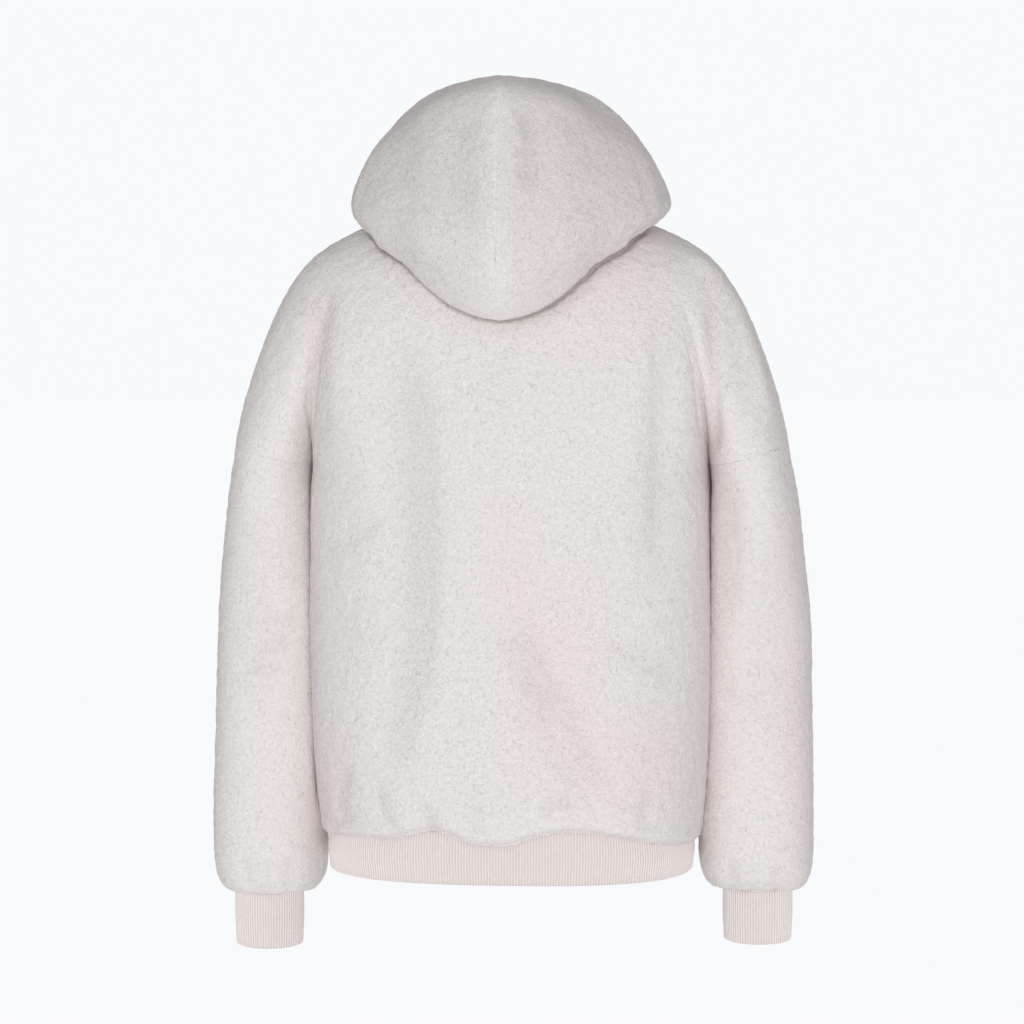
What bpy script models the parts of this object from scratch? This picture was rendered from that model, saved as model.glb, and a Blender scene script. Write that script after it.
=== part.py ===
"""Zip-up hoodie in curly pile fleece with rib cuffs and hem, hollow, as it is worn.

Sizes are in millimetres and turned into metres when a mesh is made. +Z is up, the fronts
face -Y, the wearer's left is +X. The origin is level with the shoulder seams' neck ends.
"""
import math
from collections import namedtuple

import bmesh
import bpy
import numpy as np
from mathutils import Matrix

MM = 0.001

# Cloth and seams
FLEECE_WALL = 6.0
RIB_WALL = 3.0
SEAM_GAP = 0.3
SLEEVE_CLEARANCE = 3.0
HOOD_LIFT = 4.0
GROOVE_SPREAD = 0.035

# Columns of the body's grid: over the half torso, then over the half arm
TORSO_COLUMNS = 10
ARM_COLUMNS = 6
SIDE_COLUMN = TORSO_COLUMNS + ARM_COLUMNS
FULLNESS = 2.6
ARM_FULLNESS = 2.3
SHOULDER_RISE = 4.0
NECK_RISE = 2.0
NECK_RISE_STEP = 0.5
FRONT_EDGE = 7.0

# Rows from the neckline down to the dropped armhole seam
YokeRow = namedtuple(
    "YokeRow", "z_back z_front z_side half_width groove_x depth_back depth_front groove_share")
YOKE = (
    YokeRow(-18, -66, 0, 92, 66, 75, 90, 0.00),
    YokeRow(-38, -86, -17, 130, 94, 97, 108, 0.00),
    YokeRow(-62, -107, -34, 168, 124, 114, 121, 0.00),
    YokeRow(-88, -128, -54, 198, 154, 124, 128, 0.00),
    YokeRow(-116, -150, -82, 220, 174, 131, 132, 0.03),
    YokeRow(-148, -174, -116, 238, 185, 137, 135, 0.09),
    YokeRow(-182, -200, -152, 252, 191, 142, 137, 0.19),
    YokeRow(-214, -225, -188, 264, 194, 146, 139, 0.38),
    YokeRow(-243, -248, -216, 271, 196, 148, 140, 0.68),
    YokeRow(-266, -266, -235, 275, 197, 149, 140, 1.00),
)

# Rows from the armhole seam down to the hem rib
TorsoRow = namedtuple("TorsoRow", "z half_width depth_back depth_front wave_share")
TORSO = (
    TorsoRow(-275, 197.5, 149, 140, 0.0),
    TorsoRow(-305, 198.5, 150, 141, 0.0),
    TorsoRow(-350, 199.0, 150, 141, 0.0),
    TorsoRow(-400, 199.0, 150, 141, 0.0),
    TorsoRow(-450, 198.5, 150, 141, 0.0),
    TorsoRow(-500, 197.5, 150, 141, 0.1),
    TorsoRow(-545, 196.0, 150, 141, 0.3),
    TorsoRow(-580, 193.5, 149, 140, 0.6),
    TorsoRow(-600, 190.5, 147, 138, 0.9),
    TorsoRow(-610, 187.0, 143, 135, 1.0),
    TorsoRow(-616, 182.0, 133, 128, 1.0),
)
HEM_WAVE = 12.0
HEM_WAVE_REACH = 185.0

# Largest soft troughs of back and front: from a high place to a low one, +X is the wearer's left
BodyFold = namedtuple("BodyFold", "front x_high z_high x_low z_low half_width depth")
BODY_FOLDS = (
    BodyFold(False, 112, -120, 92, -430, 34, 5.0),
    BodyFold(False, 92, -400, 118, -590, 30, 3.5),
    BodyFold(False, -150, -130, -146, -390, 24, 3.0),
    BodyFold(False, -14, -400, -100, -590, 34, 4.5),
    BodyFold(True, 120, -140, 96, -470, 32, 4.5),
    BodyFold(True, -112, -150, -128, -430, 32, 4.0),
    BodyFold(True, -60, -420, -104, -590, 30, 4.0),
)
FOLD_FADE = 60.0
FOLD_REACH = 1.5
FOLD_SHARPNESS = 2.2

# Rows of a sleeve, from just under the armhole seam to the cuff
SleeveRow = namedtuple("SleeveRow", "z_inner z_outer x_inner x_outer y_middle half_depth")
SLEEVE = (
    SleeveRow(-275, -252, 200.5, 277.0, -1, 84.0),
    SleeveRow(-305, -288, 199.0, 284.0, -4, 81.0),
    SleeveRow(-350, -342, 197.5, 291.0, -9, 77.0),
    SleeveRow(-400, -396, 196.0, 296.5, -14, 73.0),
    SleeveRow(-450, -448, 195.0, 299.5, -18, 70.0),
    SleeveRow(-500, -500, 194.0, 301.0, -20, 67.0),
    SleeveRow(-545, -545, 192.5, 302.0, -22, 64.5),
    SleeveRow(-590, -590, 190.0, 302.5, -23, 62.5),
    SleeveRow(-630, -630, 188.5, 302.5, -24, 60.5),
    SleeveRow(-658, -658, 188.5, 301.5, -24, 58.5),
    SleeveRow(-674, -674, 192.0, 298.5, -24, 54.5),
    SleeveRow(-683, -683, 200.0, 291.0, -24, 45.0),
    SleeveRow(-687, -687, 211.5, 281.5, -24, 35.0),
)
UNDERARM_EASE = (1.8, 0.0, -0.6)
CUFF_HEIGHT = 51.0
CUFF_CENTRE = (246.5, -24.0)
CUFF_RADIUS = (34.4, 34.6, 33.2)

# Rib knit
RIB_PITCH = 2.8
RIB_RELIEF = 0.3
RIBS_PER_INNER_STEP = 4
HEM_RIB_ROWS = ((0.0, 181.5, 132.5, 127.5), (0.5, 183.0, 134.0, 129.0), (1.0, 180.5, 131.0, 126.5))
HEM_BOTTOM = -661.0

# Hood panels, read from the centre front round the neck to the centre back: how many yoke
# rows the hood lies over, how far its fold is turned over, then places on its outside
HoodStation = namedtuple(
    "HoodStation",
    "share under fold belly_x belly_y belly_z crown_x crown_y crown_z rim_x rim_y rim_z")
HOOD = (
    HoodStation(0.000, 0.12, 0.65, 7, -114, -52, 7, -115, -42, 7, -114, -31),
    HoodStation(0.156, 0.22, 0.70, 63, -112, -36, 59, -111, -16, 48, -105, 1),
    HoodStation(0.312, 0.40, 0.80, 102, -102, -22, 102, -91, 5, 90, -75, 30),
    HoodStation(0.406, 0.60, 0.85, 130, -83, -10, 126, -67, 20, 112, -46, 50),
    HoodStation(0.500, 0.85, 0.90, 154, -2, 12, 139, -4, 42, 122, -9, 66),
    HoodStation(0.594, 1.15, 1.00, 150, 74, 0, 134, 60, 46, 107, 26, 85),
    HoodStation(0.688, 1.34, 1.00, 139, 102, -12, 119, 83, 54, 83, 43, 103),
    HoodStation(0.781, 1.50, 1.00, 125, 121, -22, 97, 102, 68, 62, 50, 112),
    HoodStation(0.844, 1.67, 1.00, 103, 139, -30, 75, 118, 82, 42, 55, 117),
    HoodStation(0.906, 2.12, 1.00, 68, 162, -36, 46, 134, 92, 25, 58, 120),
    HoodStation(1.000, 3.50, 1.00, 0, 192, -40, 0, 153, 102, 0, 60, 121),
)
HOOD_STAND = (0.12, 3.0)
HOOD_UNDER_ROWS = 2
HOOD_OUTER_ROWS = 7
HOOD_FOLD_STEPS = ((0.45, 7.0), (0.55, 18.0))
HOOD_RUN_SAMPLES = 60
YOKE_SLOPE_STEP = 0.2

# Zip
CHAIN_WIDTH = 6.0
CHAIN_THICKNESS = 2.6
TAPE_WIDTH = 13.0
TAPE_THICKNESS = 0.9
ZIP_SETBACK = 0.6
BOX_THICKNESS = 3.6
BOX_LENGTH = 10.0
BOX_CORNER = 0.8
SLIDER_LENGTH = 12.0
SLIDER_WIDTH = 10.0
SLIDER_PLATE = 1.7
SLIDER_CORNER = 2.5
SLIDER_CORE_INSET = 1.0
SLIDER_PLAY = 0.4
SLIDER_JOIN = 0.4
SLIDER_TO_NECK = 9.0
CROWN_WIDTH = 2.4
CROWN_LENGTH = 9.6
CROWN_LEG = 1.2
CROWN_TOP = 7.2
CROWN_BEAM = 1.3
PIVOT_HEIGHT = 4.0
ZIP_DIRECTION_LENGTH = 4.0
PULL_WIDTH = 8.0
PULL_LENGTH = 28.0
PULL_THICKNESS = 1.6
PULL_CORNER = 2.0
PULL_EYE = (4.0, 7.5)
PULL_EYE_CORNER = 1.0

Finish = namedtuple("Finish", "name colour roughness metallic")
FLEECE = Finish("curly_pile_fleece", (0.78, 0.74, 0.72), 0.95, 0.0)
RIB_KNIT = Finish("cotton_rib_knit", (0.78, 0.73, 0.69), 0.9, 0.0)
ZIP_TAPE = Finish("woven_zip_tape", (0.76, 0.71, 0.67), 0.85, 0.0)
ZIP_RESIN = Finish("moulded_resin_teeth", (0.74, 0.70, 0.65), 0.45, 0.0)
ZIP_METAL = Finish("painted_zinc_slider", (0.72, 0.68, 0.63), 0.4, 0.3)


def clear_scene():
    """Remove whatever the scene already holds."""
    for thing in list(bpy.data.objects):
        bpy.data.objects.remove(thing, do_unlink=True)


def material(finish):
    """Return the finish's material, made once."""
    made = bpy.data.materials.get(finish.name)
    if made:
        return made
    made = bpy.data.materials.new(finish.name)
    made.use_nodes = True
    shader = made.node_tree.nodes["Principled BSDF"]
    shader.inputs["Base Color"].default_value = (*finish.colour, 1.0)
    shader.inputs["Roughness"].default_value = finish.roughness
    shader.inputs["Metallic"].default_value = finish.metallic
    return made


def node(name, points, faces, finish, sharp=60.0):
    """Make one named solid from points in millimetres and its faces."""
    mesh = bpy.data.meshes.new(name)
    mesh.from_pydata([tuple(value * MM for value in point) for point in points], [], faces)
    shape = bmesh.new()
    shape.from_mesh(mesh)
    bmesh.ops.triangulate(shape, faces=shape.faces[:], quad_method="SHORT_EDGE")
    bmesh.ops.recalc_face_normals(shape, faces=shape.faces[:])
    shape.to_mesh(mesh)
    shape.free()
    mesh.shade_smooth()
    mesh.set_sharp_from_angle(angle=math.radians(sharp))
    mesh.materials.append(material(finish))
    made = bpy.data.objects.new(name, mesh)
    bpy.context.collection.objects.link(made)
    return made


def along(rows, at):
    """Read a table of rows at a fractional row number, on a smooth curve through the rows."""
    last = len(rows) - 1
    at = min(max(at, 0.0), float(last))
    low = min(int(at), last - 1)
    t = at - low
    a, b, c, d = (np.array(rows[min(max(low + step, 0), last)], float) for step in (-1, 0, 1, 2))
    values = b + 0.5 * t * (c - a + t * (2 * a - 5 * b + 4 * c - d + t * (3 * (b - c) + d - a)))
    return type(rows[0])(*values)


def superellipse(share, fullness):
    """Height over the middle, 0 to 1, of a full oval at a share of its half width."""
    return max(0.0, 1.0 - min(1.0, abs(share)) ** fullness) ** (1.0 / fullness)


def torso_share(column):
    """Share of the torso's half width at a column, 0 at the middle and 1 at the side seam."""
    return math.sin(math.pi / 2 * column / TORSO_COLUMNS) ** (2 / FULLNESS)


def groove_ease(column, groove_share):
    """How much further from the groove a column beside it lies where the groove is shallow."""
    steps = abs(column - TORSO_COLUMNS)
    return GROOVE_SPREAD * (1.0 - groove_share) * {1: 1.0, 2: 0.5}.get(steps, 0.0)


def arm_share(column):
    """Share of the arm's width at a column, 0 at the underarm and 1 at the outside."""
    return 0.5 - 0.5 * math.cos(math.pi * (column - TORSO_COLUMNS) / ARM_COLUMNS)


def arm_height(column):
    """Half depth of the arm's oval at a column, as a share of its largest."""
    return superellipse(2 * arm_share(column) - 1, ARM_FULLNESS)


def armhole_dip(column, front):
    """How far the section at the armhole lies under one full oval over torso and arm."""
    row = YOKE[-1]
    depth = row.depth_front if front else row.depth_back
    if column <= TORSO_COLUMNS:
        x = row.groove_x * torso_share(column)
        section = depth * superellipse(torso_share(column), FULLNESS)
    else:
        x = row.groove_x + (row.half_width - row.groove_x) * arm_share(column)
        section = SLEEVE[0].half_depth * arm_height(column)
    return depth * superellipse(x / row.half_width, FULLNESS) - section


def yoke_point(at, column, front):
    """Outside of the body between neckline and armhole, on the left half."""
    row = along(YOKE, at)
    ease = groove_ease(column, row.groove_share)
    if column <= TORSO_COLUMNS:
        x = row.groove_x * (torso_share(column) - ease)
    else:
        x = row.groove_x + (row.half_width - row.groove_x) * (arm_share(column) + 2 * ease)
    depth = row.depth_front if front else row.depth_back
    z_middle = row.z_front if front else row.z_back
    share = x / row.half_width
    rise = min(SHOULDER_RISE, NECK_RISE + NECK_RISE_STEP * at)
    y = depth * superellipse(share, FULLNESS) - row.groove_share * armhole_dip(column, front)
    z = z_middle + (row.z_side - z_middle) * share ** rise
    return np.array((x, -y if front else y, z))


def hem_wave(x):
    """How far the hem seam hangs lower towards the sides."""
    return HEM_WAVE * min(1.0, abs(x) / HEM_WAVE_REACH) ** 2


def torso_point(row, column, front):
    """Outside of the body between armhole and hem rib, on the left half."""
    x = row.half_width * torso_share(column)
    y = (row.depth_front if front else row.depth_back) * superellipse(torso_share(column), FULLNESS)
    return np.array((x, -y if front else y, row.z - row.wave_share * hem_wave(x)))


def fold_depth(x, z, front):
    """How deep the folds press the body in at a place."""
    depth = 0.0
    for fold in BODY_FOLDS:
        if fold.front != front:
            continue
        down = (fold.z_high - z) / (fold.z_high - fold.z_low)
        ends = min(fold.z_high - z, z - fold.z_low) / FOLD_FADE
        away = (x - fold.x_high - (fold.x_low - fold.x_high) * down) / fold.half_width
        if ends > 0 and abs(away) < FOLD_REACH:
            depth += fold.depth * min(1.0, ends) * math.exp(-FOLD_SHARPNESS * away * away)
    return depth


def body_half(front, side=1):
    """Grid of outside points over a quarter of the body, drawn on the left, and its cloth cells."""
    rows = len(YOKE) + len(TORSO)
    grid = np.zeros((rows, SIDE_COLUMN + 1, 3))
    cells = np.zeros((rows - 1, SIDE_COLUMN), bool)
    for r in range(rows):
        for c in range(SIDE_COLUMN + 1):
            if r < len(YOKE):
                grid[r, c] = yoke_point(r, c, front)
            else:
                grid[r, c] = torso_point(TORSO[r - len(YOKE)], min(c, TORSO_COLUMNS), front)
    cells[:len(YOKE) - 1, :] = True
    cells[len(YOKE) - 1:, :TORSO_COLUMNS] = True
    for r in range(rows):
        for c in range(1, TORSO_COLUMNS - 1):
            x, y, z = grid[r, c]
            grid[r, c, 1] -= math.copysign(fold_depth(side * x, z, front), y)
    seam = SEAM_GAP / 2
    on_side = np.abs(grid[:, :, 1]) < seam
    grid[on_side, 1] = -seam if front else seam
    if front:
        grid[:, 0, 0] = FRONT_EDGE
    return grid, cells


def grid_normals(grid, cells, ring=False):
    """Outward directions at a grid's points, from the cells that are cloth round each."""
    normals = np.zeros_like(grid)
    rows, columns = cells.shape
    width = grid.shape[1]
    for r in range(rows):
        for c in range(columns):
            if not cells[r, c]:
                continue
            d = (c + 1) % width if ring else c + 1
            across = grid[r + 1, d] - grid[r, c]
            down = grid[r + 1, c] - grid[r, d]
            face = np.cross(across, down)
            for place in ((r, c), (r, d), (r + 1, c), (r + 1, d)):
                normals[place] += face
    return normals


def unit(vectors):
    """Scale directions to length one."""
    length = np.linalg.norm(vectors, axis=-1, keepdims=True)
    return vectors / np.where(length < 1e-9, 1.0, length)


def wall(outer, normals, thickness, cells, ring=False):
    """Close a sheet of cells into a wall: outside, plain inside and all its rims."""
    rows, columns = outer.shape[:2]
    inner = outer - unit(normals) * thickness
    count = rows * columns
    points = list(outer.reshape(-1, 3)) + list(inner.reshape(-1, 3))
    faces = []
    edges = {}
    for r in range(cells.shape[0]):
        for c in range(cells.shape[1]):
            if not cells[r, c]:
                continue
            d = (c + 1) % columns if ring else c + 1
            loop = (r * columns + c, r * columns + d, (r + 1) * columns + d, (r + 1) * columns + c)
            faces.append(loop)
            faces.append(tuple(count + corner for corner in reversed(loop)))
            for k in range(4):
                a, b = loop[k], loop[(k + 1) % 4]
                if (b, a) in edges:
                    del edges[(b, a)]
                else:
                    edges[(a, b)] = True
    faces.extend((b, a, count + a, count + b) for a, b in edges)
    used = sorted({corner for face in faces for corner in face})
    number = {old: new for new, old in enumerate(used)}
    return [points[k] for k in used], [tuple(number[k] for k in face) for face in faces]


def mirrored(grid):
    """The same points on the wearer's right."""
    return grid * np.array((-1.0, 1.0, 1.0))


def body_normals(front, side=1):
    """Grid, cloth cells and outward directions of one quarter, kept flat along its seams."""
    grid, cells = body_half(front, side)
    normals = grid_normals(grid, cells)
    if front:
        normals = -normals
    normals = unit(normals)
    normals[np.abs(grid[:, :, 1]) < SEAM_GAP, 1] = 0.0
    normals[:, 0, 0] = 0.0
    normals[0, :, 2] = 0.0
    armhole = len(YOKE) - 1
    normals[armhole, TORSO_COLUMNS + 1:, 2] = 0.0
    normals[-1, :, 2] = 0.0
    normals[armhole, TORSO_COLUMNS] = (0.0, 0.0, -1.0)
    normals[armhole + 1, TORSO_COLUMNS] = (1.0, 0.0, 0.0)
    return grid, cells, unit(normals)


def build_back():
    """Back panel, from side seam to side seam, with both dropped shoulders."""
    grid, cells, normals = body_normals(front=False)
    right_grid, _, right_normals = body_normals(front=False, side=-1)
    whole = np.concatenate((mirrored(right_grid)[:, :0:-1], grid), axis=1)
    directions = np.concatenate((mirrored(right_normals)[:, :0:-1], normals), axis=1)
    both = np.concatenate((cells[:, ::-1], cells), axis=1)
    node("back", *wall(whole, directions, FLEECE_WALL, both), FLEECE)


def build_fronts():
    """Two front panels, which stop either side of the zip."""
    grid, cells, normals = body_normals(front=True)
    node("front_left", *wall(grid, normals, FLEECE_WALL, cells), FLEECE)
    grid, cells, normals = body_normals(front=True, side=-1)
    node("front_right", *wall(mirrored(grid), mirrored(normals), FLEECE_WALL, cells), FLEECE)


def torso_reach(y, z):
    """Half width of the torso at a depth and height, or none where it has ended."""
    rows = [YOKE[-1]] + list(TORSO)
    heights = [-YOKE[-1].z_side] + [-row.z for row in TORSO]
    half = np.interp(-z, heights, [YOKE[-1].groove_x] + [row.half_width for row in TORSO])
    depth = np.interp(-z, heights, [row.depth_front if y < 0 else row.depth_back for row in rows])
    if -z > heights[-1] + HEM_WAVE:
        half = HEM_RIB_ROWS[1][1]
        depth = HEM_RIB_ROWS[1][3]
    return half * superellipse(y / depth, FULLNESS)


def sleeve_grid():
    """Rings of the left sleeve, from the armhole seam to the cuff."""
    back, front = body_half(False)[0], body_half(True)[0]
    armhole = len(YOKE) - 1
    columns = list(range(TORSO_COLUMNS, SIDE_COLUMN + 1))
    columns += list(range(SIDE_COLUMN - 1, TORSO_COLUMNS, -1))
    rings = []
    top = [(back if k <= ARM_COLUMNS else front)[armhole, c] for k, c in enumerate(columns)]
    top = np.array(top)
    top[:, 2] -= SEAM_GAP
    top[0] += UNDERARM_EASE
    top[0, 1] = 0.0
    top[ARM_COLUMNS, 1] = 0.0
    rings.append(top)
    for row in SLEEVE:
        ring = []
        for k, c in enumerate(columns):
            share = arm_share(c)
            x = row.x_inner + (row.x_outer - row.x_inner) * share
            y = row.y_middle + (1 if k <= ARM_COLUMNS else -1) * row.half_depth * arm_height(c)
            z = row.z_inner + (row.z_outer - row.z_inner) * share
            x = max(x, torso_reach(y, z) + SLEEVE_CLEARANCE)
            ring.append((x, y, z))
        rings.append(np.array(ring))
    return np.array(rings)


def build_sleeves():
    """Sleeve tubes, open at armhole and cuff."""
    rings = sleeve_grid()
    cells = np.ones((len(rings) - 1, rings.shape[1]), bool)
    normals = unit(grid_normals(rings, cells, ring=True))
    back, front = body_normals(False)[2], body_normals(True)[2]
    armhole = len(YOKE) - 1
    for k in range(1, 2 * ARM_COLUMNS):
        c = TORSO_COLUMNS + k if k <= ARM_COLUMNS else TORSO_COLUMNS + 2 * ARM_COLUMNS - k
        normals[0, k] = (back if k <= ARM_COLUMNS else front)[armhole, c]
    normals[0, 0] = (-1.0, 0.0, 0.0)
    normals[-1, :, 2] = 0.0
    node("sleeve_left", *wall(rings, normals, FLEECE_WALL, cells, ring=True), FLEECE)
    node("sleeve_right", *wall(mirrored(rings), mirrored(normals), FLEECE_WALL, cells, ring=True), FLEECE)


def even_steps(outline, count):
    """Points and outward directions at equal steps along a fine outline."""
    lengths = np.concatenate(((0.0,), np.cumsum(np.linalg.norm(np.diff(outline, axis=0), axis=1))))
    at = np.linspace(0.0, lengths[-1], count + 1)
    x = np.interp(at, lengths, outline[:, 0])
    y = np.interp(at, lengths, outline[:, 1])
    run = np.stack((np.gradient(x), np.gradient(y)), axis=1)
    out = unit(np.stack((run[:, 1], -run[:, 0]), axis=1))
    return np.stack((x, y), axis=1), out, lengths[-1]


def stitch(first, second):
    """Triangles between two rows of points that run side by side in different steps."""
    faces = []
    i = j = 0
    while i < len(first) - 1 or j < len(second) - 1:
        reach = (i + 1) / (len(first) - 1)
        turn_over = (j + 0.5) / (len(second) - 1)
        if j == len(second) - 1 or (i < len(first) - 1 and reach <= turn_over):
            faces.append((first[i], first[i + 1], second[j]))
            i += 1
        else:
            faces.append((first[i], second[j + 1], second[j]))
            j += 1
    return faces


def rib_band(name, outlines, top_of, bottom, ring):
    """Band of rib knit: ribs raised in its outside points over a plain inside."""
    length = even_steps(outlines[0], 10)[2]
    ribs = int(round(length / RIB_PITCH / RIBS_PER_INNER_STEP)) * RIBS_PER_INNER_STEP
    steps = ribs * 2
    inner_steps = ribs // RIBS_PER_INNER_STEP
    outer, inner = [], []
    for share, outline in zip(np.linspace(0.0, 1.0, len(outlines)), outlines):
        places, out, _ = even_steps(outline, steps)
        if ring:
            out[0] = out[-1] = unit(out[1] + out[-2])
        relief = np.where(np.arange(steps + 1) % 2 == 0, -RIB_RELIEF, RIB_RELIEF)[:, None]
        skin = places + out * relief
        lining = places[::steps // inner_steps] - out[::steps // inner_steps] * RIB_WALL
        high = np.array([top_of(x) for x, _ in places])
        z = high + (bottom - high) * share
        outer.append(np.column_stack((skin, z)))
        inner.append(np.column_stack((lining, z[::steps // inner_steps])))
    if ring:
        outer = [row[:-1] for row in outer]
        inner = [row[:-1] for row in inner]
    points = [point for row in outer for point in row]
    base = len(points)
    points += [point for row in inner for point in row]
    many, few = len(outer[0]), len(inner[0])

    def outer_at(row, k):
        return row * many + k % many

    def inner_at(row, k):
        return base + row * few + k % few

    faces = []
    last_row = len(outer) - 1
    for row in range(last_row):
        for k in range(steps):
            faces.append((outer_at(row, k), outer_at(row + 1, k),
                          outer_at(row + 1, k + 1), outer_at(row, k + 1)))
        for k in range(inner_steps):
            faces.append((inner_at(row, k), inner_at(row, k + 1),
                          inner_at(row + 1, k + 1), inner_at(row + 1, k)))
        if not ring:
            faces.append((outer_at(row, 0), inner_at(row, 0), inner_at(row + 1, 0), outer_at(row + 1, 0)))
            faces.append((outer_at(row, steps), outer_at(row + 1, steps),
                          inner_at(row + 1, inner_steps), inner_at(row, inner_steps)))
    for row in (0, last_row):
        skin = [outer_at(row, k) for k in range(steps + 1)]
        lining = [inner_at(row, k) for k in range(inner_steps + 1)]
        rim = stitch(skin, lining)
        faces.extend(rim if row == 0 else [face[::-1] for face in rim])
    node(name, points, faces, RIB_KNIT, sharp=180.0)


def hem_outline(half_width, depth_back, depth_front):
    """Plan of the hem from the left of the zip round the back to its right."""
    fine = 720
    outline = []
    for k in range(fine + 1):
        turn = 2 * math.pi * k / fine
        x = half_width * math.copysign(abs(math.sin(turn)) ** (2 / FULLNESS), math.sin(turn))
        depth = depth_front if math.cos(turn) > 0 else depth_back
        y = -depth * math.copysign(abs(math.cos(turn)) ** (2 / FULLNESS), math.cos(turn))
        outline.append((x, y))
    outline = np.array(outline)
    half = fine // 2
    left = outline[:half + 1]
    left = left[left[:, 0] > FRONT_EDGE]
    left = np.concatenate((((FRONT_EDGE, -depth_front),), left, ((0.0, depth_back),)))
    right = left[::-1] * np.array((-1.0, 1.0))
    return np.concatenate((left, right[1:]))


def build_hem_rib():
    """Rib band round the hem, open at the zip."""
    outlines = [hem_outline(*row[1:]) for row in HEM_RIB_ROWS]
    seam = TORSO[-1].z - SEAM_GAP
    rib_band("hem_rib", outlines, lambda x: seam - hem_wave(x), HEM_BOTTOM, ring=False)


def build_cuffs():
    """Rib cuffs, a tube each."""
    fine = 240
    top = SLEEVE[-1].z_inner - SEAM_GAP
    for name, side in (("cuff_left", 1), ("cuff_right", -1)):
        outlines = []
        for radius in CUFF_RADIUS:
            turns = [2 * math.pi * k / fine for k in range(fine + 1)]
            outlines.append(np.array([(side * CUFF_CENTRE[0] + radius * math.cos(turn),
                                       CUFF_CENTRE[1] + radius * math.sin(turn)) for turn in turns]))
        rib_band(name, outlines, lambda x: top, top - CUFF_HEIGHT, ring=True)


def hood_station(share):
    """Read the hood's table at a share of the way from centre front to centre back."""
    at = np.interp(share, [row.share for row in HOOD], range(len(HOOD)))
    return along(HOOD, at)


Place = namedtuple("Place", "x y z")


def smooth_run(corners, count):
    """Points at even steps of a smooth curve through a few corners."""
    places = [Place(*corner) for corner in corners]
    fine = np.array([along(places, at) for at in np.linspace(0, len(places) - 1, HOOD_RUN_SAMPLES)])
    lengths = np.concatenate(((0.0,), np.cumsum(np.linalg.norm(np.diff(fine, axis=0), axis=1))))
    at = np.linspace(0.0, lengths[-1], count + 1)
    return np.stack([np.interp(at, lengths, fine[:, axis]) for axis in range(3)], axis=1)


def lifted(at, column, front, lift):
    """A place above the yoke, square to it."""
    point = yoke_point(at, column, front)
    above = max(at - YOKE_SLOPE_STEP, 0.0)
    ahead = yoke_point(at + YOKE_SLOPE_STEP, column, front) - yoke_point(above, column, front)
    last = SIDE_COLUMN
    beside = yoke_point(at, min(column + 1, last), front) - yoke_point(at, max(column - 1, 0), front)
    up = np.cross(ahead, beside)
    if column == last:
        up[1] = 0.0
    if column == 0:
        up[0] = 0.0
    return point + up * math.copysign(lift, up[2]) / max(np.linalg.norm(up), 1e-9)


def hood_grid():
    """Left hood panel: rows from the neck seam over the fold and crown to the rim."""
    stations = [(True, column) for column in range(SIDE_COLUMN + 1)]
    stations += [(False, column) for column in range(SIDE_COLUMN - 1, -1, -1)]
    columns = []
    directions = []
    necks = {front: body_normals(front)[2][0] for front in (True, False)}
    for k, (front, column) in enumerate(stations):
        row = hood_station(k / (len(stations) - 1))
        directions.append(necks[front][column])
        seam = yoke_point(0, column, front) + (0.0, 0.0, SEAM_GAP)
        run = [seam]
        run.append(lifted(min(1.0, row.under) * HOOD_STAND[0], column, front, HOOD_STAND[1]))
        for step in range(1, HOOD_UNDER_ROWS + 1):
            share = step / HOOD_UNDER_ROWS
            lift = HOOD_STAND[1] + (HOOD_LIFT - HOOD_STAND[1]) * share
            run.append(lifted(row.under * share, column, front, lift))
        for ahead, lift in HOOD_FOLD_STEPS:
            run.append(lifted(row.under + ahead * row.fold, column, front, HOOD_LIFT + lift * row.fold))
        belly = (row.belly_x, row.belly_y, row.belly_z)
        crown = (row.crown_x, row.crown_y, row.crown_z)
        rim = (row.rim_x, row.rim_y, row.rim_z)
        run.extend(smooth_run((run[-1], belly, crown, rim), HOOD_OUTER_ROWS)[1:])
        columns.append(run)
    grid = np.array(columns).transpose(1, 0, 2)
    grid[:, 0, 0] = FRONT_EDGE
    grid[:, -1, 0] = SEAM_GAP / 2
    return grid, np.array(directions)


def build_hood():
    """Two hood panels, joined at the seam over the crown."""
    grid, neck = hood_grid()
    cells = np.ones((grid.shape[0] - 1, grid.shape[1] - 1), bool)
    normals = unit(grid_normals(grid, cells))
    normals[:, 0, 0] = 0.0
    normals[:, -1, 0] = 0.0
    normals = unit(normals)
    normals[0] = unit(neck)
    node("hood_left", *wall(grid, normals, FLEECE_WALL, cells), FLEECE)
    node("hood_right", *wall(mirrored(grid), mirrored(normals), FLEECE_WALL, cells), FLEECE)


def zip_path():
    """Places (y, z) up the centre front, just behind the cloth, from hem to neck."""
    body, _, normals = body_normals(front=True)
    path = []
    edge = body[:, 0] - normals[:, 0] * (FLEECE_WALL + ZIP_SETBACK)
    for share in (1.0, 0.5):
        rib_depth = HEM_RIB_ROWS[2 if share == 1.0 else 1][3]
        seam = TORSO[-1].z
        path.append((-rib_depth + RIB_WALL + RIB_RELIEF + ZIP_SETBACK, seam + (HEM_BOTTOM - seam) * share))
    for point in edge[::-1]:
        path.append((point[1], point[2]))
    return np.array(path)


def path_normals(path):
    """Directions square to a path of (y, z) places, pointing out of the front."""
    run = np.gradient(path, axis=0)
    return unit(np.stack((-run[:, 1], run[:, 0]), axis=1))


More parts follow.
